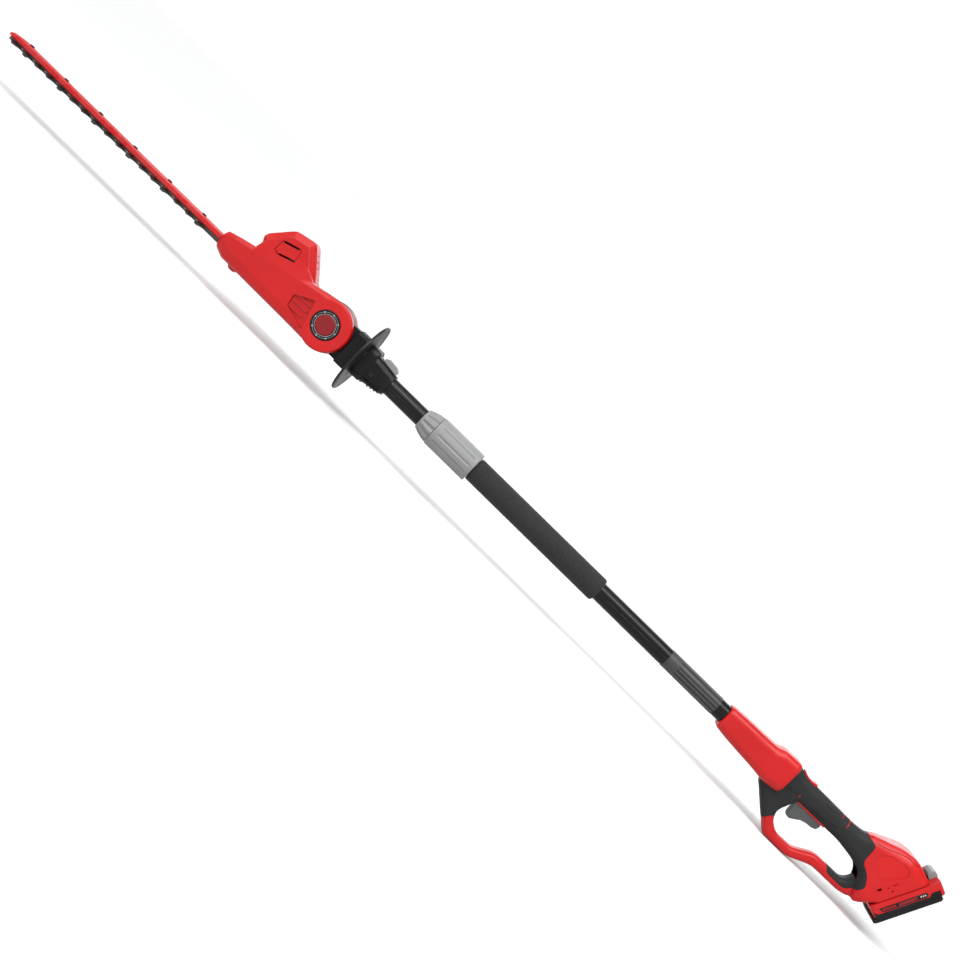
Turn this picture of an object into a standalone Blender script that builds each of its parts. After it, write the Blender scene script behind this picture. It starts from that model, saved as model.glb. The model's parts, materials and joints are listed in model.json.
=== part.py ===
"""Battery pole hedge trimmer, modelled for Blender 4.5.

The pole lies along X with the blade towards -X, the battery towards +X and the trigger below it (-Z).
The world origin is under the middle of the tool, on the surface that it stands on. Lengths are in
millimetres, measured from the pole's axis, until the mesh helpers turn them into metres.
"""

import math

import bmesh
import bpy
from mathutils import Matrix, Vector

MM = 0.001
GAP = 0.3  # between pieces that touch on the real tool
AXIS_HEIGHT = 93.5  # pole axis above the surface that the guard stands on

# Cutter bar and blades
BLADE_TIP = -998.3
BAR_END = -482.0
BAR_TOP, BAR_BOTTOM, BAR_HALF_WIDTH = -12.0, -22.0, 10.0
BLADE_THICKNESS = 2.8
UPPER_BLADE_TOP = BAR_BOTTOM - GAP
LOWER_BLADE_TOP = UPPER_BLADE_TOP - BLADE_THICKNESS - GAP
BLADE_HALF_WIDTH, TOOTH_REACH = 12.0, 30.0
TOOTH_PITCH, TOOTH_COUNT, FIRST_TOOTH = 25.4, 17, -985.0
TOOTH_STAGGER = 3.0
BLADE_STROKE = 6.0  # each way from the middle
FIRST_BOLT, BOLT_PITCH, BOLT_COUNT, BOLT_RADIUS = -960.0, 3 * TOOTH_PITCH, 6, 2.5

# Drive in the power head
MODULE = 1.0
GEAR_TEETH, PINION_TEETH = 45, 9
GEAR_X = -451.0
MOTOR_X = GEAR_X + MODULE * (GEAR_TEETH + PINION_TEETH) / 2
GEAR_BOTTOM, GEAR_TOP = -15.0, -8.0
MOTOR_BOTTOM, MOTOR_TOP, MOTOR_RADIUS = 9.0, 66.0, 18.2
ECCENTRIC_RADIUS = 8.0
PLATE_TOP, PLATE_BOTTOM, PLATE_HALF_WIDTH = -17.5, -21.5, 23.0

# Head pivot
PIVOT_X = -314.5
EAR_RADIUS, EAR_HALF_WIDTH = 43.0, 29.5
TONGUE_RADIUS, TONGUE_HALF_WIDTH = 43.5, 12.5
FORK_RADIUS, FORK_HALF_WIDTH = 54.5, 13.0
PIVOT_BOLT_RADIUS = 5.0
INDEX_RADIUS, INDEX_INNER_Y, INDEX_OUTER_Y = 38.0, 7.5, 12.5
NECK_HALF_HEIGHT = 31.0

# Pole
UPPER_TUBE_RADIUS, LOWER_TUBE_RADIUS, TUBE_WALL = 15.6, 15.8, 1.3
UPPER_TUBE = (-262.0, -92.0)
LOWER_TUBE = (-40.0, 640.0)
GUARD_DISC_X, GUARD_DISC_RADIUS, NECK_SPIGOT_RADIUS = -242.5, 65.5, 28.0
CROWN = (-106.5, -79.8)
NUT = (-79.2, 6.5)
NUT_RADIUS, NUT_FLUTES, CROWN_FLUTES = 26.5, 10, 12
FOAM = (7.0, 283.5)
FOAM_RADIUS = 21.1
LABEL = (434.5, 543.5)

# Battery: a is along the slide, h is out from the handle's rear face
PACK_TILT = math.radians(24.5)
PACK_CENTRE = Vector((949.0, 0.0, -1.7))
PACK_ALONG = Vector((math.sin(PACK_TILT), 0.0, math.cos(PACK_TILT)))
PACK_OUT = Vector((math.cos(PACK_TILT), 0.0, -math.sin(PACK_TILT)))
PACK_HALF_WIDTH = 37.5
CELL_RADIUS, CELL_LENGTH, CELL_PITCH, CELL_COUNT = 9.2, 65.0, 19.5, 5

# Controls
TRIGGER_PIVOT = (742.0, -13.0)
TRIGGER_HALF_WIDTH = 7.4
SLIDER_Z = 17.8

JOINT_POINTS = {
    "handle": (0.0, 0.0, 0.0),
    "coupling_nut": (NUT[0], 0.0, 0.0),
    "upper_pole": (CROWN[0], 0.0, 0.0),
    "head": (PIVOT_X, 0.0, 0.0),
    "motor_shaft": (MOTOR_X, 0.0, GEAR_BOTTOM),
    "drive_gear": (GEAR_X, 0.0, GEAR_BOTTOM),
    "upper_blade": (GEAR_X, 0.0, UPPER_BLADE_TOP),
    "lower_blade": (GEAR_X, 0.0, LOWER_BLADE_TOP),
    "pivot_lock": (-197.5, 0.0, SLIDER_Z),
    "trigger": (TRIGGER_PIVOT[0], 0.0, TRIGGER_PIVOT[1]),
    "lock_off": (730.0, 0.0, 13.0),
    "battery": tuple(PACK_CENTRE),
    "battery_latch": tuple(PACK_CENTRE + 53.0 * PACK_ALONG),
}
BODY_PARENTS = {
    "coupling_nut": "handle",
    "upper_pole": "handle",
    "head": "upper_pole",
    "motor_shaft": "head",
    "drive_gear": "head",
    "upper_blade": "head",
    "lower_blade": "head",
    "pivot_lock": "upper_pole",
    "trigger": "handle",
    "lock_off": "handle",
    "battery": "handle",
    "battery_latch": "battery",
}

COLOURS = {  # linear red, green, blue; roughness; metallic
    "red_plastic": ((0.62, 0.012, 0.014), 0.35, 0.0),
    "black_plastic": ((0.014, 0.014, 0.014), 0.45, 0.0),
    "grey_plastic": ((0.36, 0.36, 0.36), 0.5, 0.0),
    "dark_grey_plastic": ((0.06, 0.06, 0.06), 0.5, 0.0),
    "trigger_grey": ((0.12, 0.13, 0.13), 0.5, 0.0),
    "overmould": ((0.036, 0.038, 0.038), 0.8, 0.0),
    "foam": ((0.045, 0.045, 0.045), 0.95, 0.0),
    "tube_paint": ((0.012, 0.012, 0.012), 0.25, 0.4),
    "red_metal": ((0.6, 0.012, 0.014), 0.3, 0.3),
    "blade_steel": ((0.3, 0.28, 0.27), 0.35, 1.0),
    "steel": ((0.55, 0.55, 0.55), 0.35, 1.0),
    "dark_steel": ((0.05, 0.05, 0.05), 0.45, 0.9),
    "aluminium": ((0.75, 0.75, 0.76), 0.4, 1.0),
    "label": ((0.3, 0.3, 0.3), 0.6, 0.0),
    "cell_wrap": ((0.03, 0.16, 0.22), 0.4, 0.0),
}


# ---------------------------------------------------------------- mesh helpers


def skin(rings, closed=False, split=False):
    """A solid through rings of (x, y, z) points; the ends are capped unless the rings close on themselves.

    split cuts every side face along the same diagonal, so that one form inset in another keeps its distance.
    """
    mesh = bmesh.new()
    rows = [[mesh.verts.new(Vector(point) * MM) for point in ring] for ring in rings]
    pairs = list(zip(rows, rows[1:]))
    if closed:
        pairs.append((rows[-1], rows[0]))
    else:
        mesh.faces.new(rows[0])
        mesh.faces.new(rows[-1])
    for first, second in pairs:
        for i in range(len(first)):
            j = (i + 1) % len(first)
            if split:
                mesh.faces.new((first[i], first[j], second[j]))
                mesh.faces.new((first[i], second[j], second[i]))
            else:
                mesh.faces.new((first[i], first[j], second[j], second[i]))
    bmesh.ops.recalc_face_normals(mesh, faces=mesh.faces)
    if mesh.calc_volume(signed=True) < 0:
        bmesh.ops.reverse_faces(mesh, faces=mesh.faces)
    data = bpy.data.meshes.new("solid")
    mesh.to_mesh(data)
    mesh.free()
    solid = bpy.data.objects.new("solid", data)
    bpy.context.scene.collection.objects.link(solid)
    return solid


def combine(solid, tools, operation):
    """Apply one exact boolean for each tool, and remove the tools."""
    for tool in tools:
        modifier = solid.modifiers.new("combine", "BOOLEAN")
        modifier.operation = operation
        modifier.solver = "EXACT"
        modifier.object = tool
        evaluated = solid.evaluated_get(bpy.context.evaluated_depsgraph_get())
        result = bpy.data.meshes.new_from_object(evaluated)
        solid.modifiers.clear()
        solid.data = result
        bpy.data.objects.remove(tool)
    return solid


def cut(solid, *tools):
    return combine(solid, tools, "DIFFERENCE")


def join(solid, *tools):
    return combine(solid, tools, "UNION")


def common(solid, *tools):
    return combine(solid, tools, "INTERSECT")


def copy_of(solid):
    twin = solid.copy()
    twin.data = solid.data.copy()
    bpy.context.scene.collection.objects.link(twin)
    return twin


def offset_outline(points, distance):
    """The outline moved inwards by a distance (outwards if negative), corner by corner."""
    area = sum(a[0] * b[1] - b[0] * a[1] for a, b in zip(points, points[1:] + points[:1]))
    inward = distance if area > 0 else -distance
    lines = []
    for (ax, az), (bx, bz) in zip(points, points[1:] + points[:1]):
        length = math.hypot(bx - ax, bz - az)
        direction = ((bx - ax) / length, (bz - az) / length)
        lines.append(((ax - direction[1] * inward, az + direction[0] * inward), direction))
    moved = []
    for ((px, pz), (dx, dz)), ((qx, qz), (ex, ez)) in zip([lines[-1]] + lines[:-1], lines):
        cross = dx * ez - dz * ex
        along = ((qx - px) * ez - (qz - pz) * ex) / cross if abs(cross) > 1e-9 else 0.0
        moved.append((px + along * dx, pz + along * dz) if abs(cross) > 1e-9 else (qx, qz))
    return moved


def prism(outline, y_low, y_high):
    """A side-view outline of (x, z) points, extruded across the tool."""
    return skin([[(x, y, z) for x, z in outline] for y in (y_low, y_high)])


def slab(outline, z_low, z_high):
    """A plan outline of (x, y) points, extruded upwards."""
    return skin([[(x, y, z) for x, y in outline] for z in (z_low, z_high)])


def box(x, y, z):
    return prism([(x[0], z[0]), (x[1], z[0]), (x[1], z[1]), (x[0], z[1])], *y)


def pack_point(a, y, h):
    return PACK_CENTRE + a * PACK_ALONG + Vector((0.0, y, 0.0)) + h * PACK_OUT


def pack_box(a, y, h):
    """A box in the battery's own directions."""
    corners = ((a[0], h[0]), (a[1], h[0]), (a[1], h[1]), (a[0], h[1]))
    return skin([[pack_point(along, across, out) for along, out in corners] for across in y])


def turned(profile, axis="X", centre=(0.0, 0.0, 0.0), sides=32, tube=False, flutes=None):
    """A solid of revolution through (station, radius) points along an axis.

    A tube's profile closes on itself. flutes is (count, depth, stations): V grooves on those stations.
    """
    rings = []
    for station, radius in profile:
        ring = []
        for i in range(sides):
            grooved = flutes and station in flutes[2] and i % (sides // flutes[0]) == 0
            r = radius - flutes[1] if grooved else radius
            angle = 2 * math.pi * (i + 0.5) / sides
            u, v = r * math.cos(angle), r * math.sin(angle)
            offset = {"X": (station, u, v), "Y": (v, station, u), "Z": (u, v, station)}[axis]
            ring.append(Vector(centre) + Vector(offset))
        rings.append(ring)
    return skin(rings, closed=tube)


def rod(axis, centre, radius, start, end, sides=24):
    return turned([(start, radius), (end, radius)], axis, centre, sides)


def ring_points(low, high, half_width, low_round, high_round, steps):
    """A rounded rectangle standing on the line from low to high, each an (x, z) point."""
    height = math.hypot(high[0] - low[0], high[1] - low[1])
    up = ((high[0] - low[0]) / height, (high[1] - low[1]) / height)
    corners = (
        (half_width - low_round[0], low_round[1], low_round, -90),
        (half_width - high_round[0], height - high_round[1], high_round, 0),
        (-half_width + high_round[0], height - high_round[1], high_round, 90),
        (-half_width + low_round[0], low_round[1], low_round, 180),
    )
    ring = []
    for y_centre, t_centre, (y_round, t_round), start in corners:
        for step in range(steps + 1):
            angle = math.radians(start + 90.0 * step / steps)
            y = y_centre + y_round * math.cos(angle)
            t = t_centre + t_round * math.sin(angle)
            ring.append((low[0] + up[0] * t, y, low[1] + up[1] * t))
    return ring


def station_loft(stations, inset=0.0, steps=3):
    """A solid through stations of (low point, high point, half width, corner roundness 0 to 1)."""
    rings = []
    for low, high, half_width, roundness in stations:
        low, high = Vector(low), Vector(high)
        step_in = (high - low).normalized() * inset
        low, high, width = low + step_in, high - step_in, half_width - inset
        corner = (width * roundness, (high - low).length / 2 * roundness)
        rings.append(ring_points(low, high, width, corner, corner, steps))
    return skin(rings, split=True)


def chamfered_loft(stations, low_corner, high_corner, steps=2):
    """A solid through stations of (x, low z, high z, half width) with its own lower and upper corners."""
    rings = []
    for x, low, high, half_width in stations:
        rings.append(ring_points((x, low), (x, high), half_width, low_corner, high_corner, steps))
    return skin(rings)


def layered_prism(outline, layers):
    """A side outline stacked across the tool, as (y, inset) layers."""
    rings = []
    for y, inset in layers:
        rings.append([(x, y, z) for x, z in offset_outline(outline, inset)])
    return skin(rings)


def coil_spring(start, end, coil_radius, wire_radius, turns, steps_per_turn=6, sides=4):
    """A round-wire spring wound from start to end."""
    start, end = Vector(start), Vector(end)
    along = (end - start).normalized()
    side = along.orthogonal().normalized()
    across = along.cross(side)
    count = turns * steps_per_turn
    rings = []
    for i in range(count + 1):
        angle = 2 * math.pi * i / steps_per_turn
        outward = side * math.cos(angle) + across * math.sin(angle)
        centre = start.lerp(end, i / count) + outward * coil_radius
        wire = (2 * math.pi * k / sides for k in range(sides))
        rings.append([centre + wire_radius * (outward * math.cos(w) + along * math.sin(w)) for w in wire])
    return skin(rings)


def lead(points, radius, sides=8):
    """A wire through points that all lie in the tool's middle plane."""
    points = [Vector(point) for point in points]
    rings = []
    for i, point in enumerate(points):
        ahead = points[min(i + 1, len(points) - 1)] - points[max(i - 1, 0)]
        side = Vector((-ahead.z, 0.0, ahead.x)).normalized()
        turns = (2 * math.pi * k / sides for k in range(sides))
        ring = [point + radius * (side * math.cos(t) + Vector((0, math.sin(t), 0))) for t in turns]
        rings.append(ring)
    return skin(rings)


def halves(solid):
    """Split at the middle plane into (left, right) halves; left is the -Y side."""
    far = 1500.0
    left = common(copy_of(solid), box((-far, far), (-far, -GAP / 2), (-far, far)))
    right = common(solid, box((-far, far), (GAP / 2, far), (-far, far)))
    return left, right


# ---------------------------------------------------------------- scene helpers


def make_materials():
    materials = {}
    for name, (colour, roughness, metallic) in COLOURS.items():
        material = bpy.data.materials.new(name)
        material.use_nodes = True
        shader = material.node_tree.nodes["Principled BSDF"]
        shader.inputs["Base Color"].default_value = (*colour, 1.0)
        shader.inputs["Roughness"].default_value = roughness
        shader.inputs["Metallic"].default_value = metallic
        materials[name] = material
    return materials


def make_bodies():
    """An empty on each moving body's joint, parented as the joints are."""
    pole_axis = bpy.data.objects.new("pole_axis", None)
    pole_axis.location = (0.0, 0.0, AXIS_HEIGHT * MM)
    bpy.context.scene.collection.objects.link(pole_axis)
    bodies = {}
    for name, point in JOINT_POINTS.items():
        empty = bpy.data.objects.new(name + "_body", None)
        parent = BODY_PARENTS.get(name)
        parent_point = JOINT_POINTS[parent] if parent else (0.0, 0.0, 0.0)
        empty.parent = bodies[parent] if parent else pole_axis
        empty.location = (Vector(point) - Vector(parent_point)) * MM
        bpy.context.scene.collection.objects.link(empty)
        bodies[name] = empty
    return bodies


def finish(solid, name, material, body):
    """Name a solid, colour it and hang it on its body."""
    solid.name = name
    solid.data.name = name
    solid.data.transform(Matrix.Translation(Vector(JOINT_POINTS[body]) * -MM))
    solid.parent = BODIES[body]
    solid.data.materials.clear()
    solid.data.materials.append(MATERIALS[material])
    solid.data.shade_smooth()
    solid.data.set_sharp_from_angle(angle=math.radians(32))


# ---------------------------------------------------------------- blades and cutter bar


def bolt_stations():
    return [FIRST_BOLT + BOLT_PITCH * i for i in range(BOLT_COUNT)]


def oval(centre_x, half_length, half_width, steps=3):
    """A round-ended slot along X, in plan."""
    points = []
    for end, start in ((1, -90), (-1, 90)):
        for step in range(steps + 1):
            angle = math.radians(start + 180.0 * step / steps)
            x = centre_x + end * (half_length - half_width) + half_width * math.cos(angle)
            points.append((x, half_width * math.sin(angle)))
    return points


def blade_outline(stagger):
    """One edge of teeth, the round tip, the other edge, then the broad tail that holds the window."""
    tail_x, tail_width = GEAR_X + 26.0, 18.5
    shoulder = GEAR_X - 34.0
    edge = [(tail_x, tail_width), (GEAR_X - 26.0, tail_width), (shoulder, BLADE_HALF_WIDTH)]
    for i in reversed(range(TOOTH_COUNT)):
        root = FIRST_TOOTH + TOOTH_PITCH * i + stagger
        tooth = ((15.0, BLADE_HALF_WIDTH), (11.0, TOOTH_REACH), (5.0, TOOTH_REACH), (0.0, BLADE_HALF_WIDTH))
        edge.extend((root + x, y) for x, y in tooth)
    edge.append((FIRST_TOOTH - 6.0 + stagger, 6.0))
    return edge + [(x, -y) for x, y in reversed(edge)]


def make_blade(name, top, stagger):
    bottom = top - BLADE_THICKNESS
    blade = slab(blade_outline(stagger), bottom, top)
    slot_half = BLADE_STROKE + BOLT_RADIUS + 0.5
    for x in bolt_stations():
        blade = cut(blade, slab(oval(x, slot_half, BOLT_RADIUS + 0.4), bottom - 1, top + 1))
    # The window takes the eccentrics at every gear angle and every blade position.
    sweep = BLADE_STROKE + ECCENTRIC_RADIUS + 0.6
    window = [(GEAR_X + i * (sweep + BLADE_STROKE), j * sweep) for i, j in ((-1, -1), (1, -1), (1, 1), (-1, 1))]
    blade = cut(blade, slab(window, bottom - 1, top + 1))
    finish(blade, name, "blade_steel", name)


def make_support_bar():
    stations = (
        (BLADE_TIP, BAR_BOTTOM, BAR_BOTTOM + 4.5, 5.0),
        (BLADE_TIP + 7, BAR_BOTTOM, BAR_BOTTOM + 7.5, 8.5),
        (BLADE_TIP + 24, BAR_BOTTOM, BAR_TOP, BAR_HALF_WIDTH),
        (BAR_END, BAR_BOTTOM, BAR_TOP, BAR_HALF_WIDTH),
    )
    bar = chamfered_loft(stations, (0.6, 0.6), (2.5, 2.5))
    for x in bolt_stations():
        bar = cut(bar, rod("Z", (x, 0, 0), BOLT_RADIUS + GAP, BAR_BOTTOM - 1, BAR_TOP + 1, 8))
    finish(bar, "blade_support_bar", "red_metal", "head")


def make_blade_bolts():
    nut_top = LOWER_BLADE_TOP - BLADE_THICKNESS - GAP
    for i, x in enumerate(bolt_stations(), 1):
        head = turned([(BAR_TOP + GAP, 4.4), (BAR_TOP + 1.2, 4.4), (BAR_TOP + 1.9, 3.2)], "Z", (x, 0, 0), 8)
        shank = rod("Z", (x, 0, 0), BOLT_RADIUS, nut_top - 3.8, BAR_TOP + 1.0, 8)
        nut = rod("Z", (x, 0, 0), 4.6, nut_top - 3.5, nut_top, 6)
        finish(join(shank, head, nut), f"blade_bolt_{i}", "dark_steel", "head")


# ---------------------------------------------------------------- drive


def gear_outline(teeth, centre_x):
    """A spur gear in plan with a gap facing +X. Its teeth are slim, which leaves backlash at every angle."""
    pitch_radius = MODULE * teeth / 2
    tip, root = pitch_radius + 0.75 * MODULE, pitch_radius - 1.0 * MODULE
    turn = 2 * math.pi / teeth
    points = []
    for i in range(teeth):
        middle = turn * (i + 0.5)
        for radius, share in ((root, -0.27), (tip, -0.10), (tip, 0.10), (root, 0.27)):
            angle = middle + share * turn
            points.append((centre_x + radius * math.cos(angle), radius * math.sin(angle)))
    return points


def make_motor():
    can = (
        (24.0, 2.0),
        (MOTOR_BOTTOM - 2.5, 2.0),
        (MOTOR_BOTTOM - 2.5, 8.0),
        (MOTOR_BOTTOM, 8.0),
        (MOTOR_BOTTOM, MOTOR_RADIUS - 1.0),
        (MOTOR_BOTTOM + 1, MOTOR_RADIUS),
        (MOTOR_TOP - 1, MOTOR_RADIUS),
        (MOTOR_TOP, MOTOR_RADIUS - 1.0),
        (MOTOR_TOP, 6.0),
        (MOTOR_TOP + 2.5, 6.0),
    )
    finish(turned(can, "Z", (MOTOR_X, 0, 0), 20), "motor_can", "dark_steel", "head")
    shaft = rod("Z", (MOTOR_X, 0, 0), 1.6, GEAR_BOTTOM - 1, 22.0, 8)
    pinion = slab(gear_outline(PINION_TEETH, MOTOR_X), GEAR_BOTTOM - 0.5, GEAR_TOP + 1)
    finish(join(pinion, shaft), "motor_pinion", "steel", "motor_shaft")


def make_drive_gear():
    disc = slab(gear_outline(GEAR_TEETH, GEAR_X), GEAR_BOTTOM, GEAR_TOP)
    hub = rod("Z", (GEAR_X, 0, 0), 7.0, UPPER_BLADE_TOP, 1.0, 16)
    upper_low = UPPER_BLADE_TOP - BLADE_THICKNESS
    lower_low = LOWER_BLADE_TOP - BLADE_THICKNESS
    upper = rod("Z", (GEAR_X, BLADE_STROKE, 0), ECCENTRIC_RADIUS, upper_low, UPPER_BLADE_TOP + 0.4, 16)
    lower = rod("Z", (GEAR_X, -BLADE_STROKE, 0), ECCENTRIC_RADIUS, lower_low, upper_low + 0.2, 16)
    finish(join(disc, hub, upper, lower), "drive_gear", "steel", "drive_gear")


def make_gear_plate():
    front, rear = BAR_END + 2.0, MOTOR_X + 26.0
    corner = 6.0
    outline = []
    for x, y in ((front, -1), (rear, -1), (rear, 1), (front, 1)):
        inward = corner if x == front else -corner
        edge = (x, y * (PLATE_HALF_WIDTH - corner))
        side = (x + inward, y * PLATE_HALF_WIDTH)
        outline.extend((edge, side) if (x == front) == (y < 0) else (side, edge))
    plate = slab(outline, PLATE_BOTTOM, PLATE_TOP)
    plate = cut(plate, rod("Z", (GEAR_X, 0, 0), 7.5, PLATE_BOTTOM - 1, PLATE_TOP + 1, 16))
    finish(plate, "gear_plate", "aluminium", "head")


# ---------------------------------------------------------------- power head shells

HEAD_STATIONS = (  # x, low z, high z, half width
    (-532.5, -31.5, -9.0, 15.0),
    (-528.0, -34.0, -1.0, 20.0),
    (-511.0, -40.0, 3.5, 25.0),
    (-486.5, -40.0, 9.0, 27.5),
    (-440.0, -40.5, 19.0, 28.5),
    (-372.0, -41.0, 32.5, 29.0),
    (-345.0, -41.5, 37.5, 29.0),
    (-322.0, -42.0, 41.5, 29.0),
)
HEAD_CAVITY = (
    (-516.0, -36.0, -1.0, 20.0),
    (-486.5, -36.5, 5.0, 24.0),
    (-440.0, -37.0, 15.0, 25.0),
    (-374.0, -37.5, 28.0, 25.5),
)
HUMP = [  # side outline of the motor housing
    (-484.0, 0.0),
    (-479.0, 23.5),
    (-483.5, 32.5),
    (-480.5, 40.5),
    (-455.0, 69.0),
    (-449.0, 74.0),
    (-419.5, 80.0),
    (-413.0, 79.5),
    (-408.5, 76.0),
    (-385.0, 49.0),
    (-370.5, 31.0),
    (-350.0, 0.0),
]
HUMP_CAVITY = [(-462, 8), (-462, 30), (-448, 62), (-412, 69), (-390, 43), (-382, 27), (-382, 8)]
HEAD_SCREWS = ((-500.0, -3.0), (-392.0, -31.0), (-388.0, 30.0))


def make_head_shells():
    shell = chamfered_loft(HEAD_STATIONS, (10, 12), (6, 7))
    shell = join(shell, layered_prism(HUMP, ((-25, 11), (-14.5, 0), (14.5, 0), (25, 11))))
    rim = EAR_RADIUS - 2.5
    edge = EAR_HALF_WIDTH - 2.5
    boss = [(-EAR_HALF_WIDTH, rim), (-edge, EAR_RADIUS), (edge, EAR_RADIUS), (EAR_HALF_WIDTH, rim)]
    shell = join(shell, turned(boss, "Y", (PIVOT_X, 0, 0), 40))
    foot = [(-497.0, -38.0), (-495.0, -43.5), (-491.0, -45.0), (-483.0, -45.0), (-478.0, -38.0)]
    shell = join(shell, prism(foot, -9, 9))

    cavity = chamfered_loft(HEAD_CAVITY, (7, 9), (4, 5))
    cavity = join(cavity, layered_prism(HUMP_CAVITY, ((-21, 7), (-13.5, 0), (13.5, 0), (21, 7))))
    cavity = join(cavity, rod("Z", (MOTOR_X, 0, 0), MOTOR_RADIUS + 1.2, 0, MOTOR_TOP + 3.6))
    for x, z in HEAD_SCREWS:
        cavity = cut(cavity, rod("Y", (x, 0, z), 4.6, -40, 40, 8))
    shell = cut(shell, cavity)
    shell = cut(shell, rod("Y", (PIVOT_X, 0, 0), FORK_RADIUS, -FORK_HALF_WIDTH, FORK_HALF_WIDTH, 40))
    shell = cut(shell, box((-540, -510), (-14, 14), (-29.3, -9.5)))
    shell = cut(shell, rod("Y", (PIVOT_X, 0, 0), PIVOT_BOLT_RADIUS + GAP, -40, 40))
    for side in (-1, 1):
        inner = side * 22.2
        low, high = sorted((inner, side * 40))
        shell = cut(shell, rod("Y", (PIVOT_X, 0, 0), 9.8, low, high, 16))
    shell = cut(shell, rod("Y", (PIVOT_X, 0, 0), 24.6, -40, -27.0, 28))
    shell = cut(shell, rod("Y", (PIVOT_X, 0, 0), 17.0, 27.0, 40, 24))
    # Vent slots above and below the hexagon on both sides of the hump
    for low, high in (((-449.0, 50.5), (-417.0, 60.0)), ((-449.0, 30.5), (-413.0, 35.0))):
        slot = [low, (high[0], high[1] - 4.5), high, (low[0], low[1] + 4.5)]
        shell = cut(shell, prism(slot, -40, 40))

    left, right = halves(shell)
    for x, z in HEAD_SCREWS:
        left = cut(left, rod("Y", (x, 0, z), 2.0, -15, 1, 8))
        right = cut(right, rod("Y", (x, 0, z), 2.0, -1, 40, 8))
        right = cut(right, rod("Y", (x, 0, z), 3.7, head_screw_seat(z), 40, 12))
    finish(left, "head_shell_left", "red_plastic", "head")
    finish(right, "head_shell_right", "red_plastic", "head")


def head_screw_seat(z):
    """How deep each head screw sits: the outer walls stand closer in near the upper and lower edges."""
    return 14.0 if abs(z) > 20 else 18.0


def screw(position, seat, head_radius, shank_radius, length, side):
    """A pan-head screw across the tool, driven in from one side."""
    x, z = position
    head = rod("Y", (x, 0, z), head_radius, *sorted((side * (seat + GAP), side * (seat + 2.2))), 12)
    tip = side * (seat - length)
    shank = rod("Y", (x, 0, z), shank_radius, *sorted((tip, side * (seat + 1.0))), 8)
    return join(head, shank)


def make_head_screws():
    for i, (x, z) in enumerate(HEAD_SCREWS, 1):
        seat = head_screw_seat(z)
        finish(screw((x, z), seat, 3.3, 1.6, seat + 12, 1), f"head_screw_{i}", "dark_steel", "head")


def make_pivot():
    head = rod("Y", (PIVOT_X, 0, 0), 9.0, -26.4, -22.5, 6)
    shank = rod("Y", (PIVOT_X, 0, 0), PIVOT_BOLT_RADIUS, -23, 26.2, 16)
    nut = rod("Y", (PIVOT_X, 0, 0), 9.0, 22.5, 26.4, 6)
    finish(join(shank, head, nut), "pivot_bolt", "steel", "head")

    ring = [(-30.0, 23.6), (-29.6, 24.2), (-27.3, 24.2), (-27.3, 17.0), (-30.0, 17.0)]
    finish(turned(ring, "Y", (PIVOT_X, 0, 0), 28, tube=True), "dial_ring", "black_plastic", "head")
    cap = [(-31.0, 14.0), (-30.2, 16.4), (-27.3, 16.4)]
    finish(turned(cap, "Y", (PIVOT_X, 0, 0), 24), "dial_cap", "red_plastic", "head")
    far_cap = [(27.3, 16.5), (30.2, 16.5), (31.0, 14.0)]
    finish(turned(far_cap, "Y", (PIVOT_X, 0, 0), 24), "pivot_cap", "red_plastic", "head")

    disc = rod("Y", (PIVOT_X, 0, 0), INDEX_RADIUS, INDEX_INNER_Y, INDEX_OUTER_Y, 32)
    disc = cut(disc, rod("Y", (PIVOT_X, 0, 0), PIVOT_BOLT_RADIUS + GAP, 0, 20))
    first_notch = math.asin(sum(PAWL_Z) / 2 / INDEX_RADIUS)
    for i in range(8):
        angle = first_notch + math.radians(45 * i)
        out = Vector((math.cos(angle), math.sin(angle)))
        across = Vector((-out.y, out.x))
        centre = Vector((PIVOT_X, 0.0))
        notch = [centre + out * r + across * w for r, w in ((32, -3), (42, -4.5), (42, 4.5), (32, 3))]
        disc = cut(disc, prism([tuple(point) for point in notch], INDEX_INNER_Y - 1, INDEX_OUTER_Y + 1))
    finish(disc, "index_disc", "steel", "head")


# ---------------------------------------------------------------- neck and guard disc

NECK_SCREW_X, NECK_SCREW_Z = -210.5, -6.0
PAWL_Y = (7.5, 12.1)
PAWL_Z = (SLIDER_Z + 0.1, SLIDER_Z + 4.6)
PAWL_TIP = -280.9


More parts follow.
